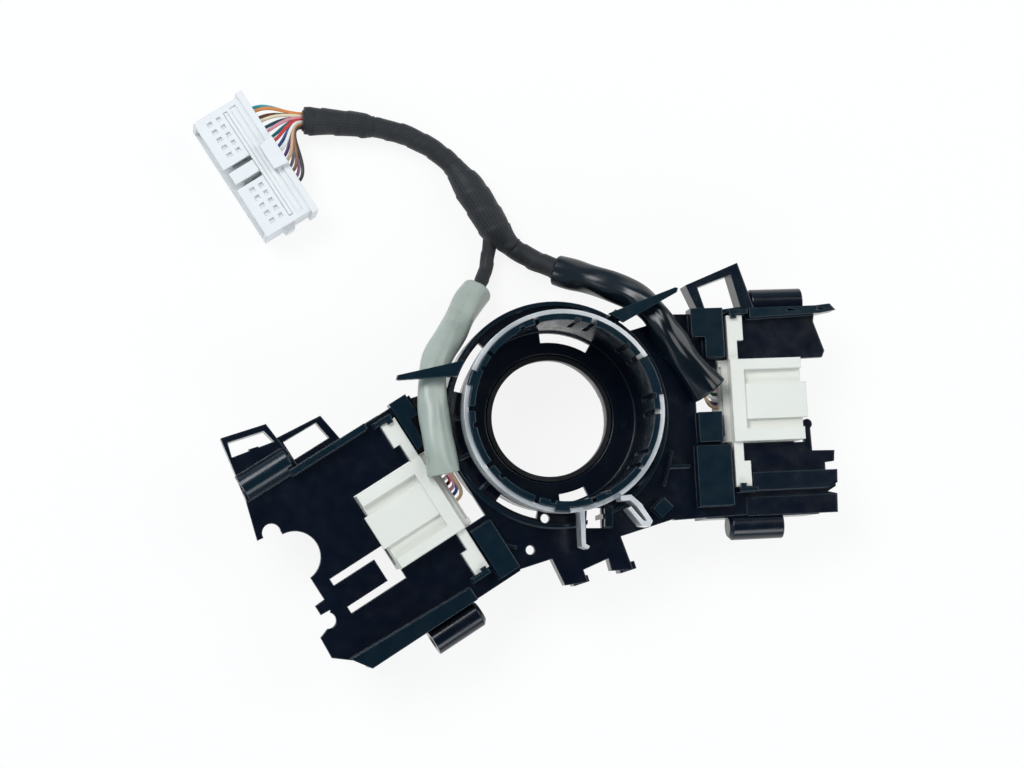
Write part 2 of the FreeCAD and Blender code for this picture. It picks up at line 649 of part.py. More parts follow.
def bracket_rails(mould):
    """Raised rails along the edges of the wings."""
    right = wing_turn(RIGHT)
    left = wing_turn(LEFT)
    far, tall, low = RIGHT_REACH, WING_TOP, -S.wing_low
    start = S.right_plug_reach + S.arm_wide + S.hook_out + 2.4
    clear = TOP_TUBE_START + S.tube_long + 3.2
    rail = [(start, tall - 1.6), (far - 3, tall - 0.6), (far + 2.2, tall + 0.3),
            (far + 0.2, tall + 2.5), (clear, tall + TUBE_RISE - S.tube_bore - 0.2), (start, tall + 1.8)]
    mould.pad("right_top_rail", [rail], S.plate_level, PLATE_TOP + 4.5, right)
    holes = [[(far - 15, tall + 0.4), (far - 10.5, tall + 0.5), (far - 14.2, tall + 1.3)],
             [(far - 4.5, tall + 0.5), (far - 1.0, tall + 0.7), (far - 4.0, tall + 1.5)]]
    mould.pocket("right_rail_holes", holes, S.plate_level, PLATE_TOP + 4.5, right)
    bar = [(start - 1.6, low + 8.6), (far - 3.4, low + 8.6), (far - 0.4, low + 10.2),
           (far - 0.2, low + 14.6), (start - 1.6, low + 14.6)]
    mould.pad("right_step_rail", [bar], PLATE_TOP, PLATE_TOP + 2.2, right)
    groove = [(start, low + 10.2), (far - 5, low + 10.2), (far - 5, low + 13.0),
              (start, low + 13.0)]
    mould.pocket("right_step_core", [groove], S.plate_level, PLATE_TOP + 0.6, right)
    strip = box(start - 4, far - 0.5, low + 0.2, low + 6.4)
    mould.pad("right_low_rail", [strip], PLATE_TOP, PLATE_TOP + 0.8, right)
    far = LEFT_REACH
    upper = box(-(far - 20.5), -(S.left_plug_reach + 9.5), tall - 2.2, tall)
    mould.pad("left_top_rail", [upper], S.plate_level, PLATE_TOP + 4.0, left)
    lower = [(-(far - 4.6), low + 6.4), (-(far - 9.0), low), (-(S.left_plug_reach + 9), low),
             (-(S.left_plug_reach + 9), low + 4.6)]
    mould.pad("left_low_rail", [lower], PLATE_TOP, PLATE_TOP + 3.2, left)


def bracket_windows(mould):
    """Openings for the connectors, the tongue slots and the rim slots."""
    play = S.plug_play
    right, left = wing_turn(RIGHT), wing_turn(LEFT)
    reach, shift = S.right_plug_reach, S.right_plug_shift
    window = box(reach - S.holder_thick - play, reach + S.plug_long + play,
                 shift - S.plug_half - play, shift + S.plug_half + play)
    mould.pocket("right_window", [window], S.plate_level - 6, PLATE_TOP + 5, right)
    inlet = box(reach - 11.4, reach - 1.0, shift - 3.4, shift + 10.0)
    mould.pocket("right_wire_inlet", [inlet], S.plate_level - 2, PLATE_TOP, right)
    reach, shift = S.left_plug_reach, S.left_plug_shift
    window = box(-(reach + S.plug_long + play), -(reach - 8.4), shift - S.plug_half - play,
                 shift + S.plug_half + play)
    mould.pocket("left_window", [window], S.plate_level - 6, PLATE_TOP, left)
    far = LEFT_REACH - 13
    root = far - S.tongue_long
    middle = -11.6
    half = S.tongue_wide / 2
    out = half + S.tongue_slot
    slot = [(far, middle + half), (far, middle + out), (reach + S.plug_long, middle + out),
            (reach + S.plug_long, middle - out), (far, middle - out), (far, middle - half),
            (root, middle - half), (root, middle + half)]
    mould.pocket("tongue_slot", [on_wing(LEFT, slot)], S.plate_level, PLATE_TOP, left)
    section = box(S.flange_slot_in, S.flange_slot_out, S.plate_level - 1, PLATE_TOP + 0.5)
    mould.revolve("rim_slot_upper", [section], 135, 30, True)
    mould.revolve("rim_slot_lower", [section], 229, 24, True)
    section = box(S.skirt_radius + 0.1, S.slot_out, FLOOR_LOW - 0.5, FLOOR_TOP + 0.5)
    mould.revolve("floor_slot_upper", [section], 61, 36, True)
    mould.revolve("floor_slot_lower", [section], 269, 20, True)
    x, y = polar(S.rim_radius - S.rim_wall - S.hole_radius - 0.2, -114.3)
    holes = [disc(x, y, S.hole_radius), disc(-22.1, -39.8, S.hole_radius)]
    mould.pocket("locating_holes", holes, S.plate_level - 1, PLATE_TOP + 1)
    edge = -COLLAR_OUT
    window = [(0.3, edge - 0.9), (4.9, edge - 2.3), (3.0, edge - 8.7), (-2.1, edge - 7.1)]
    mould.pocket("ear_window", [window], S.rim_low - 1, RIM_TOP + 1)


def bracket_loops(mould):
    """Wire loops and guides on the upper edges of the wings."""
    right, left = wing_turn(RIGHT), wing_turn(LEFT)
    top, bar = WING_TOP, S.loop_bar
    low = PLATE_TOP - S.loop_depth + 2
    high = PLATE_TOP + 2
    near = S.channel_start
    outer = [(near + 0.4, top + 0.6), (near - 3.8, top + 10.4), (near + 14.6, top + 17.6),
             (near + 19.8, top + 0.8)]
    inner = [(near + 0.6 + bar * 0.8, top + 1.2), (near - 3.4 + bar * 1.4, top + 9.6),
             (near + 14.2 - bar * 0.8, top + 17.0 - bar * 1.3), (near + 19.2 - bar * 1.7, top + 2.6)]
    mould.pad("right_loop", [outer, inner], low, high, right)
    outer = [(81.0, top - 1.5), (82.6, top + 16.8), (97.4, top + 20.6), (101.2, top - 1.5)]
    inner = [(83.4, top + 10.6), (84.4, top + 15.2), (96.2, top + 18.2), (97.6, top + 13.4)]
    mould.pad("left_loop", [on_wing(LEFT, outer), on_wing(LEFT, inner)], low, high - 1, left)
    tooth = [(88.6, top + 9), (91.8, top + 9.6), (91.8, top + 12.8), (88.6, top + 12.0)]
    mould.pad("left_loop_tooth", [on_wing(LEFT, tooth)], low, high - 1, left)
    outer = [(64.6, top - 1.0), (66.2, top + 9.8), (82.2, top + 11.2), (82.2, top - 1.0)]
    inner = [(67.6, top + 2.2), (68.6, top + 8.6), (81.0, top + 8.9), (81.0, top + 2.2)]
    mould.pad("left_guide", [on_wing(LEFT, outer), on_wing(LEFT, inner)], low + 1, high - 2, left)


def bracket_tubes(mould):
    """Four screw tubes for the column shrouds, bored from their outer ends."""
    low, high = -(S.wing_low + 2.9), WING_TOP + TUBE_RISE
    level = PLATE_TOP - S.tube_drop
    raised = level + S.tube_raise
    tubes = [("right_low_tube", RIGHT, as_size(57.0), low, level, 1 - S.wing_low),
             ("left_low_tube", LEFT, as_size(56.0), low - 1.2, level, 1 - S.wing_low),
             ("right_top_tube", RIGHT, TOP_TUBE_START, high, level, WING_TOP - 1),
             ("left_top_tube", LEFT, as_size(81.6), high - 1.2, raised, WING_TOP - 1)]
    for name, side, near, axis, level, stub in tubes:
        far = near + S.tube_long
        mould.bar(name, side, near + 1.2, axis, level, S.tube_radius, S.tube_long - 1.2)
        mould.bar(name + "_end", side, near, axis, level, S.tube_radius - 1.2, 1.2, S.tube_radius)
        mould.bar(name + "_bore", side, near + 3, axis, level, S.tube_bore, S.tube_long, cut=True)
        web = on_wing(side, [(near + 2, stub), (far - 2, stub), (far - 2, axis), (near + 2, axis)])
        mould.pad(name + "_web", [web], level - 1.2, level + 1.2, wing_turn(side))


def bracket_hooks(mould):
    """Cable hooks that hold the sleeves down beside the ring."""
    inner = S.rim_radius
    for name, side, angle, tip in (("left_hook", LEFT, 140, (-48.2, 26.2)),
                                   ("right_hook", RIGHT, 42, (48.9, 27.2))):
        root = box(inner - S.rim_wall, inner + 0.6, -S.hook_wide / 2, S.hook_wide / 2)
        mould.pad(name + "_post", [root], S.plate_level, S.hook_level + S.hook_thick, angle)
        half = S.hook_wide * (side * 0.25)
        arm = [polar(inner - S.rim_wall, angle - 4.5), (tip[0], tip[1] - half),
               (tip[0] + side * 0.8, tip[1] + half * 0.4), (tip[0], tip[1] + half),
               polar(inner - S.rim_wall, angle + 4.5)]
        mould.pad(name + "_arm", [arm], S.hook_level, S.hook_level + S.hook_thick)


def bracket_tab(mould):
    """Lower latch tab with two hooked legs."""
    low = -S.body_low
    tab = [(-16.2, low + 1), (-14.6, low - 9.6), (-7.0, low - 10.8), (-7.2, low - 6.6),
           (2.0, low - 5.6), (1.8, low - 9.8), (8.8, low - 11.6), (8.2, low + 1)]
    mould.pad("latch_tab", [tab], S.plate_level - 3, PLATE_TOP)
    feet = [box(-11.6, -6.2, low - 10.8, low - 8.6), box(4.6, 10.2, low - 11.6, low - 9.0)]
    mould.pad("latch_feet", feet, S.plate_level - 5.5, PLATE_TOP - 1)


def bracket_ribs(mould):
    """Stiffening ribs between the ring and the wings."""
    top, wide = PLATE_TOP, S.rib_thick
    edge = S.rim_radius - 0.5
    spoke = [box(COLLAR_OUT - 0.3, edge, -wide / 2, wide / 2)]
    for number, angle in enumerate((165, 187, 207, 318, 342, 6)):
        mould.pad("flange_rib_" + str(number + 1), spoke, PLATE_TOP - 0.5, PLATE_TOP + S.rib_rise, angle)
    ribs = [[(26.8, -33.0), (33.0, -22.8), (33.9, -23.4), (27.7, -33.5)],
            [(30.6, -27.2), (38.0, -29.2), (37.7, -30.2), (30.3, -28.2)],
            [(-37.0, -31.4), (-26.05, -37.25), (-26.55, -38.15), (-37.5, -32.3)]]
    for number, rib in enumerate(ribs):
        mould.pad("centre_rib_" + str(number + 1), [rib], PLATE_TOP - 0.5, top + S.rib_rise)
    boss = [(20.7, -39.2), (25.5, -36.8), (27.5, -40.6), (22.7, -43.0)]
    mould.pad("rib_block", [boss], PLATE_TOP - 0.5, top + 4.0)
    post = [(5.3, -COLLAR_OUT - 2.5), (7.9, -COLLAR_OUT - 3.3), (5.9, -COLLAR_OUT - 9.5),
            (3.4, -COLLAR_OUT - 8.7)]
    mould.pad("window_post", [post], PLATE_TOP - 0.5, top + 3.6)


# Spots of the cover screws and of the board stakes
SCREW_END = S.cover_thick + S.screw_length
BOSSES = []
for degrees in (100, 180, 232):
    heading = as_size(degrees)
    BOSSES.append((S.boss_reach * cosine(heading), S.boss_reach * sine(heading)))
BOSSES.append((S.lobe_outer + 1.4, LOBE_WALL - S.lobe_low))

# Gear train: the rotor drives both measuring gears
TOOTH_STEP = 360 / S.rotor_teeth.value
GEAR_A_HEADING = -1 * TOOTH_STEP
GEAR_B_HEADING = -6 * TOOTH_STEP


def gear_spot(teeth, heading):
    """Axis of a measuring gear in mesh with the rotor."""
    distance = (S.rotor_teeth.value + teeth) * S.tooth_module.value / 2
    return Vector(distance * math.cos(math.radians(heading)),
                  distance * math.sin(math.radians(heading)), 0)


GEAR_A = gear_spot(S.gear_a_teeth.value, GEAR_A_HEADING)
GEAR_B = gear_spot(S.gear_b_teeth.value, GEAR_B_HEADING)
STAKES = [(S.lobe_outer - LOBE_WALL - 2.2, S.lobe_high - LOBE_WALL - 2.2),
          (S.lobe_outer - LOBE_WALL - 2.2, LOBE_WALL - S.lobe_low + 2.2)]


def build_bracket():
    """The base bracket, one moulding in two stages: open shells, then what stands on them."""
    mould = Moulding("base_bracket")
    bracket_sensor_box(mould)
    bracket_centre(mould)
    bracket_wing_plates(mould)
    bracket_channels(mould)
    bracket_rails(mould)
    bracket_windows(mould)
    mould.settle()
    bracket_collar(mould)
    bracket_bosses(mould)
    bracket_blocks(mould)
    bracket_loops(mould)
    bracket_tubes(mould)
    bracket_hooks(mould)
    bracket_tab(mould)
    bracket_ribs(mould)
    return keep(mould.settle(), "base_bracket")


def build_band():
    """Steel clamp band: an open ring with two bent ears and a crossing tongue."""
    body = new_body("clamp_band")
    near = COLLAR_OUT + S.band_gap
    far = near + S.band_thick
    tip = far + S.ear_length
    revolve(body, "band_ring", [box(near, far, BAND_LOW, BAND_TOP)], 94, 336)
    tongue = BAND_LOW + S.band_width * 0.3
    revolve(body, "band_tongue", [box(near, far, tongue, tongue + S.band_width * 0.4)], 274, 36)
    left = [(-5.4, 0.9 - far), (-3.9, 0.7 - far), (-7.0, 1.4 - tip), (-6.0, 0.3 - tip),
            (-6.8, -0.4 - tip), (-8.5, 1.0 - tip)]
    pad(body, "left_ear", [left], BAND_LOW, BAND_TOP)
    right = [(8.7, 1.3 - far), (12.2, 0.6 - far), (14.5, -3.2 - far), (16.4, 1.7 - tip),
             (15.0, 0.3 - tip), (12.6, 1.3 - tip), (9.8, -3.4 - far), (11.0, -3.0 - far),
             (13.5, 2.7 - tip), (14.6, 2.3 - tip), (12.9, -3.8 - far), (11.3, -1.0 - far),
             (8.5, -0.3 - far)]
    pad(body, "right_ear", [right], BAND_LOW, BAND_TOP)
    return keep(body, "clamp_band")


def tooth_corners(teeth, number, phase):
    """Corners of one involute tooth from root to root."""
    module = S.tooth_module.value
    pitch = module * teeth / 2
    base = pitch * math.cos(math.radians(20))
    root = pitch - 0.72 * module * 1.6
    tip = pitch + 0.9 * module
    half = (math.pi * module / 2 - S.gear_backlash.value / 2) / (2 * pitch)
    centre = math.radians(phase + number * 360 / teeth)

    def flank(radius):
        if radius <= base:
            return half + spread(pitch, base)
        return half + spread(pitch, base) - spread(radius, base)

    radii = [root] + [max(base, root + 0.02) + (tip - max(base, root + 0.02)) * part / 2
                      for part in range(3)]
    left = [(radius, centre - flank(radius)) for radius in radii]
    right = [(radius, centre + flank(radius)) for radius in reversed(radii)]
    return [Vector(radius * math.cos(angle), radius * math.sin(angle), 0)
            for radius, angle in left + right]


def spread(radius, base):
    """Involute angle at a radius."""
    pressure = math.acos(min(1.0, base / radius))
    return math.tan(pressure) - pressure


def gear_prism(teeth, phase, low, width):
    """Solid toothed wheel about its own Z axis."""
    corners = []
    for number in range(int(teeth)):
        corners += tooth_corners(teeth, number, phase)
    corners.append(corners[0])
    face = Part.Face(Part.makePolygon(corners))
    face.translate(Vector(0, 0, low))
    return face.extrude(Vector(0, 0, width))


def turned(corners):
    """Solid of revolution about Z from radius-height corners."""
    spots = [Vector(radius, 0, level) for radius, level in corners]
    face = Part.Face(Part.makePolygon(spots + [spots[0]]))
    return face.revolve(Vector(0, 0, 0), UP, 360)


def add_shape(label, shape):
    """Sub-part whose shape comes from a formula or a route."""
    piece = DOC.addObject("Part::Feature", label)
    piece.Shape = shape
    piece.Placement = Placement()
    return keep(piece, label)


def build_rotor():
    """Rotor: flared bore, flange, drive slots and the big gear."""
    bore, sleeve = S.shaft_bore.value, S.rotor_sleeve.value
    top = (FLOOR_TOP - S.rotor_drop).value
    land = top - S.bore_land.value
    level, width, web = S.gear_level.value, S.gear_width.value, S.web_thick.value
    root = S.tooth_module.value * S.rotor_teeth.value / 2 - 1.0
    flare = sleeve - 0.3
    tip = root + 2.2
    section = [(bore, top), (bore, land), (flare, 0.6), (flare + 1.4, 0.6), (flare + 1.4, level - web),
               (tip, level - web), (tip, level), (root, level), (root, level + width),
               (root - 0.6, level + width + 0.8), (sleeve, level + width + 0.8), (sleeve, top)]
    shape = turned(section)
    ring = gear_prism(S.rotor_teeth.value, 0, level, width)
    ring = ring.cut(Part.makeCylinder(root - 0.5, width * 3, Vector(0, 0, level - width)))
    shape = shape.fuse(ring)
    wide = S.drive_slot.value
    for angle in (0, 180):
        slot = Part.makeBox(8, wide, 2.0, Vector(bore, -wide / 2, 0.5))
        slot.rotate(Vector(0, 0, 0), UP, angle)
        shape = shape.cut(slot)
    return add_shape("rotor", shape.removeSplitter())


def build_measuring_gear(label, magnet_label, spot, teeth, heading):
    """Measuring gear with a blind bore for its pin and a cup for its magnet."""
    level, width = S.gear_level.value, S.gear_width.value
    bore = S.spindle_radius.value + S.spindle_play.value
    cup = S.magnet_radius.value
    phase = heading + 180 + 180 / teeth
    shape = gear_prism(teeth, phase, level, width)
    cup_top = MAGNET_LOW.value + S.magnet_thick.value
    shape = shape.fuse(Part.makeCylinder(cup + 0.8, cup_top - level - width, Vector(0, 0, level + width)))
    shape = shape.cut(Part.makeCylinder(bore, PIN_TOP.value + 0.2 - level, Vector(0, 0, level)))
    shape = shape.cut(Part.makeCylinder(cup, S.magnet_thick.value, Vector(0, 0, MAGNET_LOW.value)))
    magnet = Part.makeCylinder(cup, S.magnet_thick.value, Vector(0, 0, MAGNET_LOW.value))
    for piece in (add_shape(label, shape), add_shape(magnet_label, magnet)):
        piece.Placement = Placement(spot, Rotation())


PIN_TOP = MAGNET_LOW - 0.9


def build_cover():
    """Sensor cover with its rim ears, screw holes and the two gear pins."""
    body = new_body("sensor_cover")
    lobe = box(S.lobe_inner, S.lobe_outer, -S.lobe_low, S.lobe_high)
    pad(body, "cover_disc", [disc(0, 0, S.skirt_radius)], 0, S.cover_thick)
    pad(body, "cover_lobe", [lobe], 0, S.cover_thick)
    for number, (x, y) in enumerate(BOSSES):
        pad(body, "cover_ear_" + str(number + 1), [disc(x, y, S.boss_radius + 0.4)], 0, S.cover_thick)
        pocket(body, "cover_hole_" + str(number + 1), [disc(x, y, S.screw_radius)], 0, S.cover_thick)
    ring = S.rotor_sleeve + 1.1 + S.rotor_play
    pocket(body, "rotor_hole", [disc(0, 0, ring)], 0, S.cover_thick)
    for name, spot in (("a", GEAR_A), ("b", GEAR_B)):
        pad(body, "pin_foot_" + name, [disc(spot.x, spot.y, S.spindle_radius + 1.0)], S.cover_thick,
            S.gear_level - 0.1)
        pad(body, "gear_pin_" + name, [disc(spot.x, spot.y, S.spindle_radius)], S.cover_thick, PIN_TOP)
    return keep(body, "sensor_cover")


def build_board():
    """Circuit board in the lobe, clear of the rotor, staked to the floor."""
    inner = S.rotor_sleeve.value + 1.6
    wall = LOBE_WALL.value + 0.3
    low, high = -S.lobe_low.value + wall, S.lobe_high.value - wall
    right = S.lobe_outer.value - wall
    level, thick = BOARD_LOW.value, S.board_thick.value
    plate = Part.makeBox(right - 12, high - low, thick, Vector(12, low, level))
    plate = plate.common(Part.makeCylinder(S.skirt_radius.value + 30, thick, Vector(0, 0, level)))
    plate = plate.cut(Part.makeCylinder(inner, thick, Vector(0, 0, level)))
    keep_in = Part.makeBox(60, 60, thick, Vector(16.2, -30, level))
    plate = plate.common(keep_in)
    for x, y in STAKES:
        plate = plate.cut(Part.makeCylinder(1.0, thick, Vector(x.value, y.value, level)))
    return add_shape("circuit_board", plate)


def build_chips():
    """Two hall chips over the magnets and the processor chip."""
    side, high = S.chip_side.value, S.chip_high.value
    solids = []
    for spot in (GEAR_A, GEAR_B):
        solids.append(Part.makeBox(side, side, high, Vector(spot.x - side / 2, spot.y - side / 2,
                                                            CHIP_LOW.value)))
    solids.append(Part.makeBox(5.0, 5.0, high, Vector(30.2, -16.4, CHIP_LOW.value)))
    return add_shape("sensor_chips", Part.makeCompound(solids))


def build_header():
    """Board connector whose mouth passes the lobe wall."""
    low, high = S.cover_thick.value + 0.2, BOARD_LOW.value
    front = -S.lobe_low.value - 1.2
    x = HEADER_X.value
    wide = S.header_wide.value
    shell = Part.makeBox(wide, 4.4, high - low, Vector(x - wide / 2, front, low))
    shell = shell.cut(Part.makeBox(wide - 2, 3.4, high - low - 2.4, Vector(x + 1 - wide / 2, front, low + 1.0)))
    pitch = (wide - 5.0) / 3
    for number in range(4):
        near = x - 0.3 + (number - 1.5) * pitch
        pin = Part.makeBox(0.6, 2.4, 0.6, Vector(near, front + 1.2, low + 2.0))
        shell = shell.fuse(pin)
    return add_shape("board_connector", shell.removeSplitter())


def seat_on_wing(piece, side, along, across):
    """Places a connector piece on its wing, wires towards the ring."""
    x, y = wing_spot(side, along, across)
    turn = as_size(-1) * S.droop if side == RIGHT else S.droop + 180
    piece.Placement = Placement(Vector(x.value, y.value, 0), Rotation(UP, turn.value))
    bind(piece, "Placement.Base.x", x)
    bind(piece, "Placement.Base.y", y)
    bind(piece, "Placement.Rotation.Angle", turn)


def plug_place(side):
    """Reach and height of a stalk connector on its wing."""
    if side == RIGHT:
        return S.right_plug_reach, S.right_plug_shift
    return S.left_plug_reach, S.left_plug_shift


def build_stalk_connector(side, name):
    """White stalk connector: T arms with hooks, rimmed top, latch block and socket."""
    body = new_body(name)
    half, long, wall = S.plug_half, S.plug_long, S.plug_wall
    arm_low, arm_high = PLATE_TOP, PLATE_TOP + S.arm_thick
    pad(body, name + "_shell", [box(0, long, -half, half)], S.plug_low, S.plug_top - 2.0)
    pad(body, name + "_arms", [box(0, S.arm_wide, -S.arm_half, S.arm_half)], arm_low, arm_high)
    hooks = [box(S.arm_wide - 0.4, S.arm_wide + S.hook_out, S.arm_half - S.hook_long, S.arm_half),
             box(S.arm_wide - 0.4, S.arm_wide + S.hook_out, -S.arm_half, S.hook_long - S.arm_half)]
    pad(body, name + "_hooks", hooks, arm_low, arm_high)
    rims = [box(0, long, half - 3.6, half), box(0, long, -half, 4.2 - half),
            box(0, 4.6, -half, half)]
    for number, rim in enumerate(rims):
        pad(body, name + "_rim_" + str(number + 1), [rim], S.plug_top - 2.5, S.plug_top)
    latch = box(4.0, long + 1.5, -6.4, 5.6)
    pad(body, name + "_latch_block", [latch], S.plug_top - 2.5, S.plug_top - 0.7)
    socket = box(long - 16.5, long + 0.1, wall - half, half - wall)
    pocket(body, name + "_socket", [socket], S.plug_low + wall, S.plate_level - 1.0)
    key = box(long - 15, long + 0.1, -1.6, 1.6)
    pocket(body, name + "_key_slot", [key], S.plug_low - 0.1, S.plug_low + wall + 0.1)
    body.Tip.Refine = True
    along, across = plug_place(side)
    seat_on_wing(body, side, along, across)
    return keep(body, name)


def build_holder(side, name):
    """Wire holder clipped to the back of a stalk connector, with its wire holes."""
    body = new_body(name)
    half = S.plug_half - 0.1
    pad(body, name + "_plate", [box(-S.holder_thick, 0, -half, half)], S.plug_low + 1.5, S.holder_top)
    clips = [box(-S.holder_thick + 0.4, 0, half - 0.1, half + 0.3),
             box(-S.holder_thick + 0.4, 0, -half - 0.3, 0.1 - half)]
    pad(body, name + "_clips", clips, S.plug_low + 3.5, S.holder_top - 3)
    seat = box(-S.holder_thick, -S.holder_thick + 1.0, -half + 2, half - 2)
    pocket(body, name + "_wire_step", [seat], S.holder_top - 1.6, S.holder_top)
    along, across = plug_place(side)
    seat_on_wing(body, side, along, across)
    return keep(body, name)


def build_terminals(side, name):
    """Rows of pins in a stalk connector's socket."""
    count = int(S.pin_count.value)
    pitch, side_long, reach = S.pin_pitch.value, S.pin_side.value, S.pin_reach.value
    back = S.plug_long.value - 16.5
    solids = []
    for level in (S.plug_low.value + 3.4, S.plug_low.value + 6.0):
        for number in range(count):
            y = (number - (count - 1) / 2) * pitch
            solids.append(Part.makeBox(reach, side_long, side_long,
                                       Vector(back, y - side_long / 2, level - side_long / 2)))
    piece = add_shape(name, Part.makeCompound(solids))
    along, across = plug_place(side)
    seat_on_wing(piece, side, along, across)
    return piece


def route(points):
    """Straight runs and the tangent bends that join them."""
    parts, radii = [], []
    start = points[0]
    for before, corner, after in zip(points, points[1:], points[2:]):
        run = min((corner - before).Length, (after - corner).Length)
        ahead = Vector(corner - before).normalize()
        onward = Vector(after - corner).normalize()
        turn = ahead.getAngle(onward)
        reach = 0.45 * run
        radius = reach / math.tan(turn / 2)
        entry = corner - ahead * reach
        axis = Vector(ahead.cross(onward)).normalize()
        centre = entry + axis.cross(ahead) * radius
        parts.append(("run", start, entry - start))
        parts.append(("bend", entry, ahead, centre, axis, math.degrees(turn)))
        radii.append(round(radius, 1))
        start = corner + onward * reach
    parts.append(("run", start, points[-1] - start))
    return parts, radii


def round_face(centre, heading, radius, hole):
    """Disc or ring across a route."""
    face = Part.Face(Part.Wire([Part.makeCircle(radius, centre, heading)]))
    if hole:
        face = face.cut(Part.Face(Part.Wire([Part.makeCircle(hole, centre, heading)])))
    return face


def sweep(parts, radius, hole=0.0):
    """Solid or tube along some parts of a route."""
    solids = []
    for part in parts:
        heading = part[2]
        face = round_face(part[1], heading, radius, hole)
        if part[0] == "run":
            solids.append(face.extrude(heading))
        else:
            solids.append(face.revolve(part[3], part[4], part[5]))
    shape = solids[0]
    if len(solids) > 1:
        shape = shape.multiFuse(solids[1:]).removeSplitter()
    return shape.Solids[0]


def report_route(label, parts, radii, radius, solid):
    """Prints a cord's length and radii and compares its volume."""
    length = 0.0
    for part in parts:
        if part[0] == "run":
            length += part[2].Length
        else:
            length += math.radians(part[5]) * (part[1] - part[3]).Length
    ratio = solid.Volume / (math.pi * radius * radius * length)
    print(label, "length", round(length, 1), "radii", radii, "volume ratio", round(ratio, 4))


def spots(rows):
    """Points of a route from plain coordinates."""
    return [Vector(*row) for row in rows]


# Routes of the harness as it lies in the picture
BLACK_SLEEVE = spots([(19.6, 47.4, 8.6), (31.4, 37.6, 19.8), (41.6, 25.0, 29.4), (44.2, 9.6, 30.0),
                      (49.8, -3.9, 29.4)])
GREY_SLEEVE = spots([(-9.8, 48.6, 7.6), (-23.6, 37.6, 19.6), (-35.4, 27.2, 28.8), (-40.3, 11.6, 30.5),
                     (-42.3, -4.6, 31.2)])


def ahead_of(points, distance):
    """Point before the first one, on the line of the first run."""
    return points[0] - Vector(points[1] - points[0]).normalize() * distance


TRUNK = [route(BLACK_SLEEVE)[0][1][1], ahead_of(BLACK_SLEEVE, 7.0)]
TRUNK += spots([(4.4, 63.4, 4.9), (0.8, 80.0, 4.9), (-5.4, 99.0, 4.0), (-24.4, 114.4, 4.0),
                (-48.5, 121.6, 5.4)])
BRANCH = [route(GREY_SLEEVE)[0][1][1], ahead_of(GREY_SLEEVE, 5.0)]
BRANCH += spots([(-1.6, 58.4, 3.0), (2.6, 68.6, 3.6)])


def build_sleeve(points, radius, label):
    """Plastic sleeve, open at both mouths."""
    parts, radii = route(points)
    solid = sweep(parts, radius)
    report_route(label, parts, radii, radius, solid)
    inner = radius - S.sleeve_wall.value
    solid = solid.cut(sweep(parts[:1], inner)).cut(sweep(parts[-1:], inner))
    return add_shape(label, solid)


def build_harness():
    """Sleeves, taped cords and the tape wraps."""
    build_sleeve(BLACK_SLEEVE, S.right_sleeve_radius.value, "right_sleeve")
    build_sleeve(GREY_SLEEVE, S.left_sleeve_radius.value, "left_sleeve")
    radius = S.cord_radius.value
    parts, radii = route(TRUNK)
    trunk = sweep(parts, radius)
    report_route("harness_cord", parts, radii, radius, trunk)
    add_shape("harness_cord", trunk)
    add_shape("splice_wrap", sweep(parts[4:7], S.wrap_radius.value, radius))
    add_shape("plug_end_wrap", sweep(parts[-1:], S.end_wrap_radius.value, radius))
    envelope = sweep(parts[3:8], S.wrap_radius.value)
    parts, radii = route(BRANCH)
    branch = sweep(parts, S.branch_radius.value)
    report_route("left_branch_cord", parts, radii, S.branch_radius.value, branch)
    add_shape("left_branch_cord", largest(branch.cut(envelope)))


def largest(shape):
    """The main solid of a cut shape."""
    return max(shape.Solids, key=lambda solid: solid.Volume)


def six_sided(centre, heading, radius):
    """Hexagon across a wire."""
    side = Vector(heading.cross(UP)).normalize()
    rise = Vector(side.cross(heading)).normalize()
    corners = []
    for number in range(6):
        angle = math.radians(60 * number)
        corners.append(centre + side * (radius * math.cos(angle)) + rise * (radius * math.sin(angle)))
    return Part.makePolygon(corners + corners[:1])


def thin_wire(start, leave, end, arrive, radius):
    """Single wire from one face to another, leaving and arriving square."""
    reach = (end - start).Length * 0.4
    one, two = start + leave * reach, end - arrive * reach
    sections = []
    for share in (0.0, 0.25, 0.5, 0.75, 1.0):
        rest = 1 - share
        spot = (start * rest ** 3 + one * (3 * rest ** 2 * share)
                + two * (3 * rest * share ** 2) + end * share ** 3)
        heading = ((one - start) * rest ** 2 + (two - one) * (2 * rest * share)
                   + (end - two) * share ** 2)
        sections.append(six_sided(spot, heading, radius))
    return Part.makeLoft(sections, True, True)


def build_stalk_wires(side, name, sleeve, centre, spread, count):
    """Single wires from a sleeve mouth to the wire holder."""
    solids = []
    along = plug_place(side)[0].value
    near = along - S.holder_thick.value
    level = S.holder_top.value - 2.6
    leave = Vector(sleeve[-1] - sleeve[-2]).normalize()
    start_side = Vector(-leave.y, leave.x, 0) * -side
    outward = Vector(side * math.cos(math.radians(S.droop.value)),
                     -math.sin(math.radians(S.droop.value)), 0)
    for number in range(count):
        share = (number - (count - 1) / 2) / (count - 1)
        lower = number % 2
        x, y = wing_spot(side, near, centre - share * spread)
        end = Vector(x.value, y.value, level - 2.3 * lower)
        start = sleeve[-1] - leave * 0.8 + start_side * (share * 3.2)
        start = start + Vector(0, 0, 0.9 - 1.9 * lower)
        solids.append(thin_wire(start, leave, end, outward, S.wire_radius.value))
    return add_shape(name, Part.makeCompound(solids))


def main_plug_frame():
    """Place of the main plug on the table."""
    return Placement(Vector(-70.2, 109.6, 0.2), Rotation(UP, 15.5))


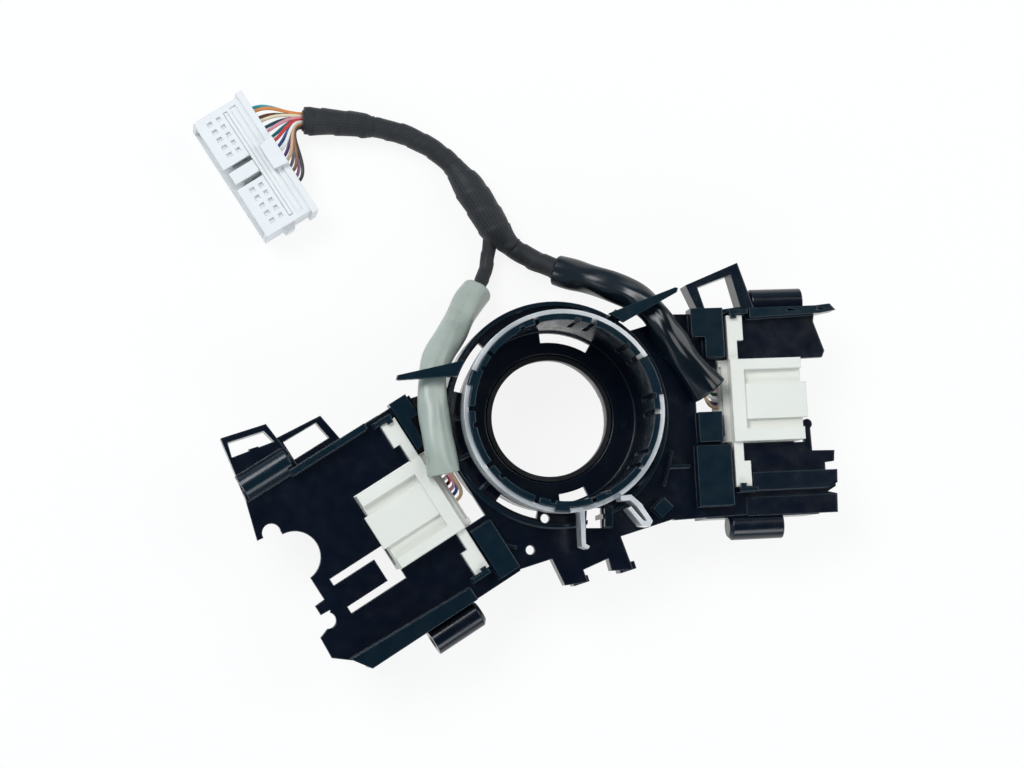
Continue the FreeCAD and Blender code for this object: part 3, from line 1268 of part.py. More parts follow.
def build_main_plug():
    """White main plug: block, wire flange, socket, latch bay and terminal windows."""
    body = new_body("plug_housing")
    deep, high, wall = S.main_deep, S.main_high, S.main_wall
    half = S.main_long / 2
    back = deep / 2
    pad(body, "plug_block", [box(-back, back, 1.2 - half, half - 1.2)], 0.4, high)
    pad(body, "wire_flange", [box(back, back + S.main_flange, -half, half)], 0, high + 0.6)
    crest = [(back - 3.0, -4.6), (back + S.main_flange, -5.4), (back + S.main_flange, 5.4),
             (back - 3.0, 4.6)]
    pad(body, "flange_crest", [crest], high - 0.5, high + 2.4)
    pocket(body, "plug_socket", [box(-back, S.main_cavity - back, 2.8 - half, half - 2.8)],
           0.4 + wall, high - wall)
    bay = box(-back, 3.0, -S.latch_bay / 2, S.latch_bay / 2)
    pocket(body, "latch_opening", [bay], high - wall - 0.1, high)
    pad(body, "latch_tongue", [box(-back + 0.8, 3.2, -2.2, 2.2)], high - wall, high - 0.2)
    groove = box(1.6, 3.0, 3.4 - half, half - 3.4)
    pocket(body, "retainer_groove", [groove], high - 0.9, high)
    step = box(4.4, 6.6, 3.0 - half, half - 3.0)
    pocket(body, "cable_step", [step], high - 0.5, high)
    for name, start in (("lower", 4.4 - half), ("upper", as_size(6.6))):
        window = pocket(body, name + "_window", [box(-back + 3.6, -back + 5.4, start, start + 1.5)],
                        high - 0.7, high)
        row(body, name + "_windows", window, 12.0, 5)
        window = pocket(body, name + "_slot", [box(-back + 7.2, -back + 8.6, start, start + 1.5)],
                        high - 0.7, high)
        row(body, name + "_slots", window, 12.0, 5)
    nub = [(-2.2, -half + 1.3), (2.4, -half + 1.3), (1.6, -half - 0.6), (-1.4, -half - 0.6)]
    pad(body, "side_nub", [nub], 3.0, high - 3)
    pocket(body, "wire_pocket", [box(back + 1.0, back + S.main_flange + 0.1, 4.0 - half, half - 4.0)],
           2.6, high - 2.6)
    body.Placement = main_plug_frame()
    return keep(body, "plug_housing")


def build_main_retainer():
    """Terminal retainer lying in its groove."""
    body = new_body("plug_retainer")
    half = S.main_long / 2
    strip = box(1.7, 2.9, 3.6 - half, half - 3.6)
    pad(body, "retainer_strip", [strip], S.main_high - 0.9, S.main_high + 0.1)
    body.Placement = main_plug_frame()
    return keep(body, "plug_retainer")


def build_main_terminals():
    """Two rows of terminals inside the main plug."""
    count, pitch, side = int(S.main_pins.value), S.main_pitch.value, S.pin_side.value
    back = S.main_cavity.value - S.main_deep.value / 2
    middle = S.main_high.value / 2
    solids = []
    for level in (middle - 1.9, middle + 1.9):
        for group in (-1, 1):
            for number in range(count):
                y = group * (2.6 + number * pitch)
                solids.append(Part.makeBox(7.5, side, side,
                                           Vector(back - 7.5, y - side / 2, level - side / 2)))
    piece = add_shape("plug_terminals", Part.makeCompound(solids))
    piece.Placement = main_plug_frame()
    return piece


def build_main_wires():
    """Loose wires that fan from the tape mouth to the main plug."""
    frame = main_plug_frame()
    mouth = TRUNK[-1]
    leave = Vector(TRUNK[-1] - TRUNK[-2]).normalize()
    across = Vector(-leave.y, leave.x, 0).normalize()
    rise = leave.cross(across)
    arrive = frame.Rotation.multVec(Vector(-1, 0, 0))
    face = S.main_deep.value / 2 + 1.0
    middle = S.main_high.value / 2
    solids = []
    count = S.main_wires.value
    for number in range(int(count)):
        share = (number - (count - 1) / 2) / (count - 1)
        row_level = 1.7 if number % 2 else -1.7
        end = frame.multVec(Vector(face, 3.4 - share * 30.0, middle + row_level))
        start = mouth + leave * 0.05 + across * (share * 5.0) + rise * (row_level * 0.6)
        solids.append(thin_wire(start, leave, end, arrive, S.wire_radius.value * 0.9))
    return add_shape("plug_wires", Part.makeCompound(solids))


def check_and_write():
    """Recomputes, checks every object and writes one file for each sub-part."""
    DOC.recompute()
    for item in DOC.Objects:
        if "Invalid" in item.State or "Error" in item.State:
            raise RuntimeError("failed feature: " + item.Name + " " + str(item.State))
    os.makedirs("parts", exist_ok=True)
    for piece in PIECES:
        shape = piece.Shape
        if shape.isNull() or not shape.isValid():
            raise RuntimeError("bad shape: " + piece.Label)
        shape.exportStep("parts/" + piece.Label + ".step")
        print(piece.Label, "solids", len(shape.Solids), "volume", round(shape.Volume, 1))


build_bracket()
build_band()
build_rotor()
build_measuring_gear("measuring_gear_a", "magnet_a", GEAR_A, S.gear_a_teeth.value, GEAR_A_HEADING)
build_measuring_gear("measuring_gear_b", "magnet_b", GEAR_B, S.gear_b_teeth.value, GEAR_B_HEADING)
build_cover()
build_board()
build_chips()
build_header()
for wing, word in ((RIGHT, "right"), (LEFT, "left")):
    build_stalk_connector(wing, word + "_connector")
    build_holder(wing, word + "_connector_holder")
    build_terminals(wing, word + "_terminals")
build_harness()
build_stalk_wires(RIGHT, "right_wires", BLACK_SLEEVE, S.right_plug_shift + 3.0, 9.6, 7)
build_stalk_wires(LEFT, "left_wires", GREY_SLEEVE, S.left_plug_shift + 1.0, 12.0, 7)
build_main_plug()
build_main_retainer()
build_main_terminals()
build_main_wires()
check_and_write()
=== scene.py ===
import math
import random

import bmesh
import bpy
from mathutils import Matrix, Vector


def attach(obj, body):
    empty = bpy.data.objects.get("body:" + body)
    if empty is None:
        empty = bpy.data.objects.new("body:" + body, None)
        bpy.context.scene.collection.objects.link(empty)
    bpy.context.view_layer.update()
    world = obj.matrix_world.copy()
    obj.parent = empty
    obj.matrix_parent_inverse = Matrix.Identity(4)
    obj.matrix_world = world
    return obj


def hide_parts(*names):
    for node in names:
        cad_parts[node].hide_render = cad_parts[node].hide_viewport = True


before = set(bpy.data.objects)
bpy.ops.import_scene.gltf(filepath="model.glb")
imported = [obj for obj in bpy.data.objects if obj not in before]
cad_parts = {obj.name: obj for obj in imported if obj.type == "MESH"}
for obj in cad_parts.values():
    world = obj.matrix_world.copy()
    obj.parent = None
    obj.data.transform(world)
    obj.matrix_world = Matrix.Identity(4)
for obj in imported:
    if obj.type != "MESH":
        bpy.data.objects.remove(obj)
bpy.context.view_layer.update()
bpy.ops.object.select_all(action="DESELECT")


# Base bracket: one blue-black moulding in glass-filled nylon, with the sensor housing,
# the collar, the wings and their hooks. It comes out of the mould semi-gloss, with
# faint flow marks. Its edges carry a painted highlight in pale blue, and its raised
# faces are painted a paler teal as painted light from above.


def new_material(name):
    """Empty node material with its shader."""
    material = bpy.data.materials.new(name)
    material.use_nodes = True
    nodes, links = material.node_tree.nodes, material.node_tree.links
    return material, nodes, links, nodes["Principled BSDF"]


def noise_of(nodes, links, scale, detail=3.0, stretch=(1, 1, 1), source="Object"):
    """Noise texture on the piece's own coordinates."""
    coordinates = nodes.new("ShaderNodeTexCoord")
    mapping = nodes.new("ShaderNodeMapping")
    mapping.inputs["Scale"].default_value = stretch
    noise = nodes.new("ShaderNodeTexNoise")
    noise.inputs["Scale"].default_value = scale
    noise.inputs["Detail"].default_value = detail
    links.new(coordinates.outputs[source], mapping.inputs["Vector"])
    links.new(mapping.outputs["Vector"], noise.inputs["Vector"])
    return noise.outputs["Fac"]


def ramp_of(nodes, links, factor, stops):
    """Colour ramp with the given stops."""
    ramp = nodes.new("ShaderNodeValToRGB")
    while len(ramp.color_ramp.elements) < len(stops):
        ramp.color_ramp.elements.new(0.5)
    for element, (place, colour) in zip(ramp.color_ramp.elements, stops):
        element.position = place
        element.color = (*colour, 1)
    links.new(factor, ramp.inputs["Fac"])
    return ramp.outputs["Color"]


def spread_of(nodes, links, factor, low, high):
    """Maps a noise to a range of roughness."""
    spread = nodes.new("ShaderNodeMapRange")
    spread.inputs["From Min"].default_value = 0.3
    spread.inputs["From Max"].default_value = 0.7
    spread.inputs["To Min"].default_value = low
    spread.inputs["To Max"].default_value = high
    links.new(factor, spread.inputs["Value"])
    return spread.outputs["Result"]


def relief(nodes, links, shader, height, distance, strength, edge=0.0):
    """Bump, over a normal rounded at the edges."""
    bump = nodes.new("ShaderNodeBump")
    bump.inputs["Distance"].default_value = distance
    bump.inputs["Strength"].default_value = strength
    links.new(height, bump.inputs["Height"])
    if edge:
        rounding = nodes.new("ShaderNodeBevel")
        rounding.samples = 6
        rounding.inputs["Radius"].default_value = edge
        links.new(rounding.outputs["Normal"], bump.inputs["Normal"])
    links.new(bump.outputs["Normal"], shader.inputs["Normal"])


def moulded_plastic(name, dark, pale, low, high, grain, edge, sheen=0.5):
    """Injection-moulded plastic: flow marks, fine grain and rounded edges."""
    material, nodes, links, shader = new_material(name)
    flow = noise_of(nodes, links, 42, 4, (1, 1, 0.4))
    fine = noise_of(nodes, links, 1900, 2)
    links.new(ramp_of(nodes, links, flow, [(0.3, dark), (0.7, pale)]), shader.inputs["Base Color"])
    links.new(spread_of(nodes, links, noise_of(nodes, links, 210, 5), low, high),
              shader.inputs["Roughness"])
    shader.inputs["Specular IOR Level"].default_value = sheen
    relief(nodes, links, shader, fine, grain, 0.35, edge)
    return material


def mixed_colour(nodes, links, share, first, second):
    """Blend of a colour with a second one by a share from 0 to 1."""
    blend = nodes.new("ShaderNodeMix")
    blend.data_type = "RGBA"
    links.new(share, blend.inputs["Factor"])
    links.new(first, blend.inputs["A"])
    blend.inputs["B"].default_value = (*second, 1)
    return blend.outputs["Result"]


def painted_edge_highlight(nodes, links, shader, radius, colour):
    """Painted highlight: paler colour where the surface turns over an edge."""
    rounding = nodes.new("ShaderNodeBevel")
    rounding.samples = 8
    rounding.inputs["Radius"].default_value = radius
    geometry = nodes.new("ShaderNodeNewGeometry")
    product = nodes.new("ShaderNodeVectorMath")
    product.operation = "DOT_PRODUCT"
    links.new(rounding.outputs["Normal"], product.inputs[0])
    links.new(geometry.outputs["Normal"], product.inputs[1])
    spread = nodes.new("ShaderNodeMapRange")
    spread.inputs["From Min"].default_value = 0.99
    spread.inputs["From Max"].default_value = 0.80
    links.new(product.outputs["Value"], spread.inputs["Value"])
    plain = shader.inputs["Base Color"].links[0].from_socket
    links.new(mixed_colour(nodes, links, spread.outputs["Result"], plain, colour),
              shader.inputs["Base Color"])


def painted_top_light(nodes, links, shader, low, high, colour):
    """Painted light: paler colour on the raised faces, where light from above falls on them."""
    coordinates = nodes.new("ShaderNodeTexCoord")
    parts = nodes.new("ShaderNodeSeparateXYZ")
    links.new(coordinates.outputs["Object"], parts.inputs["Vector"])
    spread = nodes.new("ShaderNodeMapRange")
    spread.inputs["From Min"].default_value = low
    spread.inputs["From Max"].default_value = high
    links.new(parts.outputs["Z"], spread.inputs["Value"])
    plain = shader.inputs["Base Color"].links[0].from_socket
    links.new(mixed_colour(nodes, links, spread.outputs["Result"], plain, colour),
              shader.inputs["Base Color"])


def dress(node, material):
    """Gives a CAD node its finish."""
    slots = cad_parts[node].material_slots
    if slots:
        for slot in slots:
            slot.material = material
    else:
        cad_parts[node].data.materials.append(material)


NAVY, NAVY_PALE = (0.0007, 0.0018, 0.0065), (0.0012, 0.0038, 0.0105)
# Painted light from above: the paler teal laid on the bracket's raised faces.
PAINTED_TOP_TEAL = (0.002, 0.0115, 0.019)
# Painted highlight: the pale blue laid along the bracket's edges.
EDGE_HIGHLIGHT_BLUE = (0.022, 0.052, 0.075)
# Heights between which the painted top light fades in.
PLATE_LEVEL, BLOCK_LEVEL = 0.0252, 0.029
# Width of the painted edge highlight.
EDGE_HIGHLIGHT_WIDE = 0.00032
bracket_plastic = moulded_plastic("bracket_plastic", NAVY, NAVY_PALE, 0.16, 0.28, 0.00002, 0.0006, 0.5)
nodes, links = bracket_plastic.node_tree.nodes, bracket_plastic.node_tree.links
shader = nodes["Principled BSDF"]
# Painted light: faces between plate and block level are tinted paler teal as if lit from above.
painted_top_light(nodes, links, shader, PLATE_LEVEL, BLOCK_LEVEL, PAINTED_TOP_TEAL)
# Painted highlight: the bracket's edges are lightened to pale blue where they would catch the light.
painted_edge_highlight(nodes, links, shader, EDGE_HIGHLIGHT_WIDE, EDGE_HIGHLIGHT_BLUE)
dress("base_bracket", bracket_plastic)


# Clamp band: a strip of bright spring steel, rolled round the collar and bent out
# into two ears. Rolling leaves fine lines along the strip.
band_steel, nodes, links, shader = new_material("band_steel")
lines = noise_of(nodes, links, 60, 6, (1, 1, 34))
links.new(ramp_of(nodes, links, lines, [(0.35, (0.90, 0.92, 0.93)), (0.65, (0.97, 0.98, 0.98))]),
          shader.inputs["Base Color"])
links.new(spread_of(nodes, links, lines, 0.36, 0.5), shader.inputs["Roughness"])
shader.inputs["Metallic"].default_value = 1.0
relief(nodes, links, shader, lines, 0.00002, 0.4, 0.0002)
dress("clamp_band", band_steel)


# Rotor sleeve, measuring gears and sensor cover: acetal and nylon mouldings, turned
# by the steering shaft or snapped under the sensor housing.
rotor_plastic = moulded_plastic("rotor_plastic", (0.010, 0.011, 0.012), (0.018, 0.019, 0.021),
                                0.3, 0.45, 0.00003, 0.00025)
gear_plastic = moulded_plastic("gear_plastic", (0.62, 0.60, 0.53), (0.70, 0.68, 0.61),
                               0.35, 0.5, 0.00003, 0.0002)
cover_plastic = moulded_plastic("cover_plastic", (0.006, 0.009, 0.013), (0.010, 0.015, 0.021),
                                0.32, 0.5, 0.00005, 0.0003)
magnet_ferrite = moulded_plastic("magnet_ferrite", (0.05, 0.05, 0.052), (0.09, 0.09, 0.095),
                                 0.45, 0.6, 0.00004, 0.0001)
dress("rotor", rotor_plastic)
dress("sensor_cover", cover_plastic)
for gear, magnet in (("measuring_gear_a", "magnet_a"), ("measuring_gear_b", "magnet_b")):
    dress(gear, gear_plastic)
    dress(magnet, magnet_ferrite)


# Sensor electronics: a green glass-fibre board staked under the housing floor, with
# black chips over the magnets and a small ivory outlet.
board_green = moulded_plastic("board_green", (0.006, 0.085, 0.035), (0.010, 0.11, 0.048),
                              0.25, 0.4, 0.00003, 0.0001)
chip_epoxy = moulded_plastic("chip_epoxy", (0.012, 0.012, 0.013), (0.02, 0.02, 0.021),
                             0.5, 0.65, 0.00003, 0.0001)
dress("circuit_board", board_green)
dress("sensor_chips", chip_epoxy)


# Stalk connectors and main plug: off-white PBT mouldings, satin, a little warmer
# and duller where they are thick.
ivory_plastic = moulded_plastic("ivory_plastic", (0.74, 0.735, 0.66), (0.79, 0.785, 0.72),
                                0.34, 0.46, 0.00002, 0.0005, 0.45)
shader = ivory_plastic.node_tree.nodes["Principled BSDF"]
shader.inputs["Subsurface Weight"].default_value = 0.06
shader.inputs["Subsurface Radius"].default_value = (0.0012, 0.001, 0.0008)
white_plastic = moulded_plastic("white_plastic", (0.76, 0.77, 0.765), (0.83, 0.84, 0.835),
                                0.36, 0.48, 0.00002, 0.0004, 0.45)
for side in ("right", "left"):
    dress(side + "_connector", ivory_plastic)
    dress(side + "_connector_holder", ivory_plastic)
dress("board_connector", ivory_plastic)
dress("plug_housing", white_plastic)
dress("plug_retainer", white_plastic)


# Terminals: blades stamped from brass strip and tin plated, dull silver with a faint
# cloud. They are pushed into the connectors and the plug from behind.
terminal_tin, nodes, links, shader = new_material("terminal_tin")
plating = noise_of(nodes, links, 700, 3)
links.new(ramp_of(nodes, links, plating, [(0.3, (0.55, 0.54, 0.51)), (0.7, (0.74, 0.73, 0.70))]),
          shader.inputs["Base Color"])
links.new(spread_of(nodes, links, plating, 0.25, 0.4), shader.inputs["Roughness"])
shader.inputs["Metallic"].default_value = 1.0
for node in ("right_terminals", "left_terminals", "plug_terminals"):
    dress(node, terminal_tin)


# Harness cords: bundles of thin wires wound with black cloth tape, half lapped, so
# that a low step runs round them in a helix. The tape is glued to itself.
TRUNK = [(26.13, 41.97, 14.8), (15.25, 51.01, 4.47), (4.4, 63.4, 4.9), (0.8, 80.0, 4.9),
         (-5.4, 99.0, 4.0), (-24.4, 114.4, 4.0), (-48.5, 121.6, 5.4)]
BRANCH = [(-18.3, 41.83, 14.99), (-6.57, 51.18, 4.79), (-1.6, 58.4, 3.0), (2.6, 68.6, 3.6)]
CORD_THICK = 0.0070
BRANCH_THICK = 0.0048
CORD_LAP, BRANCH_LAP = 0.00032, 0.00026
TAPE_STEP, BRANCH_STEP = 0.0085, 0.0065
CORD_SPACING = 0.0006
CORD_SIDES, BRANCH_SIDES = 40, 32
CLIMB_SHARE, STEP_SHARE = 0.93, 0.07
THREADS = 420


def metres(rows):
    """Route points in metres."""
    return [Vector(row) / 1000 for row in rows]


def spline_of(name, rows, thick=0.0):
    """Curve object with one open NURBS spline on the route's points."""
    curve = bpy.data.curves.new(name, "CURVE")
    curve.dimensions = "3D"
    curve.resolution_u = 24
    curve.bevel_depth = thick / 2
    spline = curve.splines.new("NURBS")
    spline.points.add(len(rows) - 1)
    for point, row in zip(spline.points, metres(rows)):
        point.co = (*row, 1)
    spline.order_u = 3
    spline.use_endpoint_u = True
    thing = bpy.data.objects.new(name, curve)
    bpy.context.collection.objects.link(thing)
    return thing


def line_along(name, rows):
    """Points read from the route's spline, from its first end to its last."""
    thing = spline_of(name, rows)
    bpy.context.view_layer.update()
    mesh = bpy.data.meshes.new_from_object(thing)
    spots = [vertex.co.copy() for vertex in mesh.vertices]
    bpy.data.meshes.remove(mesh)
    bpy.data.objects.remove(thing)
    return spots


def even_steps(spots, step):
    """The same line with points an even step apart."""
    runs = [0.0]
    for before, after in zip(spots, spots[1:]):
        runs.append(runs[-1] + (after - before).length)
    count = max(2, round(runs[-1] / step))
    out, place = [], 0
    for number in range(count + 1):
        goal = runs[-1] * number / count
        while place < len(runs) - 2 and runs[place + 1] < goal:
            place += 1
        share = (goal - runs[place]) / max(runs[place + 1] - runs[place], 1e-9)
        out.append(spots[place].lerp(spots[place + 1], min(max(share, 0), 1)))
    return out, runs[-1]


def frames_along(spots):
    """Two directions across the line at each point, without twist."""
    ahead = [(after - before).normalized() for before, after in zip(spots, spots[1:])]
    ahead.append(ahead[-1])
    side = ahead[0].cross(Vector((0, 0, 1))).normalized()
    frames = []
    for heading in ahead:
        side = (side - heading * side.dot(heading)).normalized()
        frames.append((side, heading.cross(side)))
    return frames


def tube_along(name, spots, around, radius_at, material, caps=True):
    """Mesh tube whose radius is a function of length run and angle; UV in metres."""
    frames = frames_along(spots)
    shape = bmesh.new()
    uv = shape.loops.layers.uv.new("UVMap")
    rings, runs, run = [], [], 0.0
    for number, (spot, (side, rise)) in enumerate(zip(spots, frames)):
        if number:
            run += (spot - spots[number - 1]).length
        runs.append(run)
        ring = []
        for part in range(around):
            angle = 2 * math.pi * part / around
            reach = radius_at(run, angle)
            outward = side * math.cos(angle) + rise * math.sin(angle)
            ring.append(shape.verts.new(spot + outward * reach))
        rings.append(ring)
    girth = 2 * math.pi * radius_at(0, 0)
    for row, (first, second) in enumerate(zip(rings, rings[1:])):
        for part in range(around):
            nearby = (part + 1) % around
            face = shape.faces.new((first[part], second[part], second[nearby], first[nearby]))
            face.smooth = True
            places = ((part, row), (part, row + 1), (part + 1, row + 1), (part + 1, row))
            for loop, (across, along) in zip(face.loops, places):
                loop[uv].uv = (girth * across / around, runs[along])
    if caps:
        shape.faces.new(rings[0])
        shape.faces.new(list(reversed(rings[-1])))
    bmesh.ops.recalc_face_normals(shape, faces=shape.faces)
    mesh = bpy.data.meshes.new(name)
    shape.to_mesh(mesh)
    shape.free()
    mesh.materials.append(material)
    thing = bpy.data.objects.new(name, mesh)
    bpy.context.collection.objects.link(thing)
    return thing


def tape_climb(run, angle, step):
    """How far a turn of tape has climbed over the last one, from 0 to 1."""
    turn = (run / step + angle / (2 * math.pi)) % 1.0
    return turn / CLIMB_SHARE if turn < CLIMB_SHARE else (1 - turn) / STEP_SHARE


def lapped(radius, step, lap):
    """Radius of a taped cord: each turn climbs over the last and steps down."""
    def radius_at(run, angle):
        lumps = 0.00006 * math.sin(run * 700 + math.sin(angle + run * 190) * 2)
        return radius + lap * (tape_climb(run, angle, step) - 0.5) + lumps
    return radius_at


def cloth_tape(name, dark, pale):
    """Black cloth tape: a fine plain weave, dull, with dusty high threads."""
    material, nodes, links, shader = new_material(name)
    coordinates = nodes.new("ShaderNodeTexCoord")
    weave = []
    for direction in ("X", "Y"):
        wave = nodes.new("ShaderNodeTexWave")
        wave.bands_direction = direction
        wave.inputs["Scale"].default_value = THREADS
        wave.inputs["Distortion"].default_value = 0.6
        wave.inputs["Detail"].default_value = 1.0
        links.new(coordinates.outputs["UV"], wave.inputs["Vector"])
        weave.append(wave.outputs["Fac"])
    woven = nodes.new("ShaderNodeMath")
    woven.operation = "MULTIPLY"
    links.new(weave[0], woven.inputs[0])
    links.new(weave[1], woven.inputs[1])
    links.new(ramp_of(nodes, links, woven.outputs["Value"], [(0.2, dark), (0.9, pale)]),
              shader.inputs["Base Color"])
    links.new(spread_of(nodes, links, noise_of(nodes, links, 160, 4), 0.55, 0.75),
              shader.inputs["Roughness"])
    shader.inputs["Sheen Weight"].default_value = 0.18
    shader.inputs["Sheen Roughness"].default_value = 0.4
    relief(nodes, links, shader, woven.outputs["Value"], 0.00012, 0.6)
    return material


tape = cloth_tape("cloth_tape", (0.006, 0.007, 0.009), (0.022, 0.025, 0.030))
trunk_line, trunk_long = even_steps(line_along("trunk_line", TRUNK), CORD_SPACING)
branch_line, branch_long = even_steps(line_along("branch_line", BRANCH), CORD_SPACING)
trunk_cord = tube_along("trunk_cord", trunk_line, CORD_SIDES,
                        lapped(CORD_THICK / 2, TAPE_STEP, CORD_LAP), tape)
branch_cord = tube_along("branch_cord", branch_line, BRANCH_SIDES,
                         lapped(BRANCH_THICK / 2, BRANCH_STEP, BRANCH_LAP), tape)
for piece, node in ((trunk_cord, "harness_cord"), (branch_cord, "left_branch_cord")):
    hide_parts(node)
    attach(piece, "base")


# Splice wrap and plug-end wrap: extra turns of the same tape, thick over the Y where
# the branch joins, and over the mouth of the cord at the main plug, where it is
# pressed flat. Both lie on the table.
WRAP_LAP, WRAP_SIDES = 0.00038, 44
FLARE_FADE = 0.006
PRESSED = 0.25
SPLICE_START, SPLICE_END = 0.028, 0.064
SPLICE_RADIUS, SPLICE_THICK, SPLICE_LONG = 0.0036, 0.0056, 0.0355
SPLICE_STEP, SPLICE_TAPER = 0.0074, 0.011
END_START, END_INSET = 0.0245, 0.0002
END_RADIUS, END_THICK, END_LONG, END_FLARE = 0.0037, 0.0043, 0.0242, 0.0016
END_STEP, END_TAPER = 0.0088, 0.003


def swollen(radius, thick, long, step, ends, flare=0.0):
    """Radius of a wrap that swells between its ends, is pressed flat below and may flare last."""
    def radius_at(run, angle):
        share = min(run, long - run) / ends
        share = min(max(share, 0.0), 1.0)
        share = share * share * (3 - 2 * share)
        wide = flare * math.exp(-(long - run) / FLARE_FADE) * (math.cos(angle) ** 2 - 0.35)
        lying = 1 - PRESSED * max(0.0, math.sin(angle)) * share
        lap = WRAP_LAP * (tape_climb(run, angle, step) - 0.5)
        return (radius + (thick - radius) * share) * lying + lap + wide
    return radius_at


def stretch_of(spots, first, last):
    """The part of a line between two lengths run."""
    out, run = [], 0.0
    for before, after in zip(spots, spots[1:]):
        run += (after - before).length
        if first <= run <= last:
            out.append(after)
    return out


splice_line = stretch_of(trunk_line, SPLICE_START, SPLICE_END)
splice_tape = tube_along("splice_tape", splice_line, WRAP_SIDES,
                         swollen(SPLICE_RADIUS, SPLICE_THICK, SPLICE_LONG, SPLICE_STEP,
                                 SPLICE_TAPER), tape)
end_line = stretch_of(trunk_line, trunk_long - END_START, trunk_long - END_INSET)
end_tape = tube_along("end_tape", end_line, WRAP_SIDES,
                      swollen(END_RADIUS, END_THICK, END_LONG, END_STEP, END_TAPER, END_FLARE),
                      tape)
for piece, node in ((splice_tape, "splice_wrap"), (end_tape, "plug_end_wrap")):
    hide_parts(node)
    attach(piece, "base")


# Sleeves: lengths of soft PVC tubing pushed over the branches, glossy black on the
# right and grey-green on the left. They are open at both mouths, dented, pinched
# under their hooks and spread where the single wires leave them.
BLACK_SLEEVE = [(19.6, 47.4, 8.6), (31.4, 37.6, 19.8), (41.6, 25.0, 29.4), (44.2, 9.6, 30.0),
                (49.8, -3.9, 29.4)]
BLACK_END = (51.4, -7.6, 28.6)
GREY_SLEEVE = [(-9.8, 48.6, 7.6), (-23.6, 37.6, 19.6), (-35.4, 27.2, 28.8), (-40.3, 11.6, 30.5),
               (-42.3, -4.6, 31.2)]
GREY_END = (-42.6, -7.4, 30.8)
BLACK_RADIUS, GREY_RADIUS = 0.0048, 0.0047
BLACK_PINCH, GREY_PINCH = 0.038, 0.042
BLACK_MOUTH, GREY_MOUTH = 0.14, 0.08
PINCH_WIDE, MOUTH_FADE, START_FADE = 0.006, 0.006, 0.004
SLEEVE_WALL, SLEEVE_OVAL = 0.0007, 0.14
SLEEVE_SPACING, SLEEVE_SIDES = 0.0006, 48


def soft_tubing(name, dark, pale, low, high):
    """Soft PVC tubing, smooth, with long faint creases."""
    material, nodes, links, shader = new_material(name)
    cloud = noise_of(nodes, links, 90, 3)
    crease = noise_of(nodes, links, 130, 2, (1, 0.2, 1), "UV")
    links.new(ramp_of(nodes, links, cloud, [(0.3, dark), (0.7, pale)]), shader.inputs["Base Color"])
    links.new(spread_of(nodes, links, cloud, low, high), shader.inputs["Roughness"])
    relief(nodes, links, shader, crease, 0.0006, 0.5)
    return material


def crushed(radius, long, flat, seed, pinch, mouth):
    """Radius of a soft tube that is oval, dented, pinched under its hook and flared at its end."""
    chance = random.Random(seed)
    waves = [(chance.uniform(110, 420), chance.uniform(0, 6.28), chance.choice((2, 3, 3, 4)))
             for _ in range(6)]

    def radius_at(run, angle):
        dents = sum(math.sin(run * rate + phase) * math.cos(angle * lobes + phase)
                    for rate, phase, lobes in waves) / len(waves)
        crease = math.exp(-((math.sin(angle - 1.9 + run * 14) + 0.1) / 0.16) ** 2)
        held = math.exp(-((run - pinch) / PINCH_WIDE) ** 2)
        spread = mouth * math.exp(-(long - run) / MOUTH_FADE) * (0.35 + math.cos(2 * angle))
        start = 0.06 * math.exp(-run / START_FADE)
        return radius * (1 + flat * math.cos(2 * angle) * 0.5 + 0.16 * dents - 0.05 * crease
                         - 0.10 * held + spread + start)
    return radius_at


sleeve_black = soft_tubing("sleeve_black", (0.0012, 0.0032, 0.0065), (0.0024, 0.0062, 0.0105),
                           0.16, 0.28)
sleeve_grey = soft_tubing("sleeve_grey", (0.335, 0.375, 0.325), (0.42, 0.46, 0.405), 0.24, 0.38)
for name, node, slot, rows, radius, finish, seed, pinch, mouth in (
        ("black_tubing", "right_sleeve", "black_sleeve", BLACK_SLEEVE + [BLACK_END], BLACK_RADIUS,
         sleeve_black, 3, BLACK_PINCH, BLACK_MOUTH),
        ("grey_tubing", "left_sleeve", "grey_sleeve", GREY_SLEEVE + [GREY_END], GREY_RADIUS,
         sleeve_grey, 8, GREY_PINCH, GREY_MOUTH)):
    spots, long = even_steps(line_along(name + "_line", rows), SLEEVE_SPACING)
    tubing = tube_along(name, spots, SLEEVE_SIDES,
                        crushed(radius, long, SLEEVE_OVAL, seed, pinch, mouth), finish, caps=False)
    bpy.context.view_layer.objects.active = tubing
    wall = tubing.modifiers.new("wall", "SOLIDIFY")
    wall.thickness = SLEEVE_WALL
    wall.offset = -1
    bpy.ops.object.modifier_apply(modifier="wall")
    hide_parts(node)
    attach(tubing, "base")


# Single wires: stranded copper in thin PVC of many colours, led from the sleeve
# mouths to the stalk connectors and fanned from the tape mouth to the main plug.
WIRE_THICK = 0.00118
WIRE_STEPS, WIRE_SIDES = 24, 12
SPRING = 0.4
STALK_WIRES, PLUG_WIRES = 7, 16
ROW_LEVEL = 0.0017
INSULATION = {
    "teal": (0.03, 0.30, 0.33), "brown": (0.20, 0.075, 0.03), "orange": (0.62, 0.22, 0.06),
    "cream": (0.68, 0.60, 0.42), "deep_teal": (0.015, 0.13, 0.17), "pink": (0.62, 0.25, 0.30),
    "mauve": (0.36, 0.20, 0.33), "red": (0.50, 0.03, 0.03), "blue": (0.05, 0.16, 0.48),
    "pale": (0.72, 0.73, 0.70), "violet": (0.20, 0.12, 0.38), "tan": (0.50, 0.33, 0.18),
    "grey": (0.30, 0.31, 0.32), "black": (0.012, 0.012, 0.014), "green": (0.04, 0.26, 0.09),
    "yellow": (0.70, 0.52, 0.08)}
insulation = {}
for colour, value in INSULATION.items():
    pale = tuple(min(1.0, part * 1.25 + 0.01) for part in value)
    insulation[colour] = moulded_plastic("wire_" + colour, value, pale, 0.32, 0.45, 0.00002, 0.0)


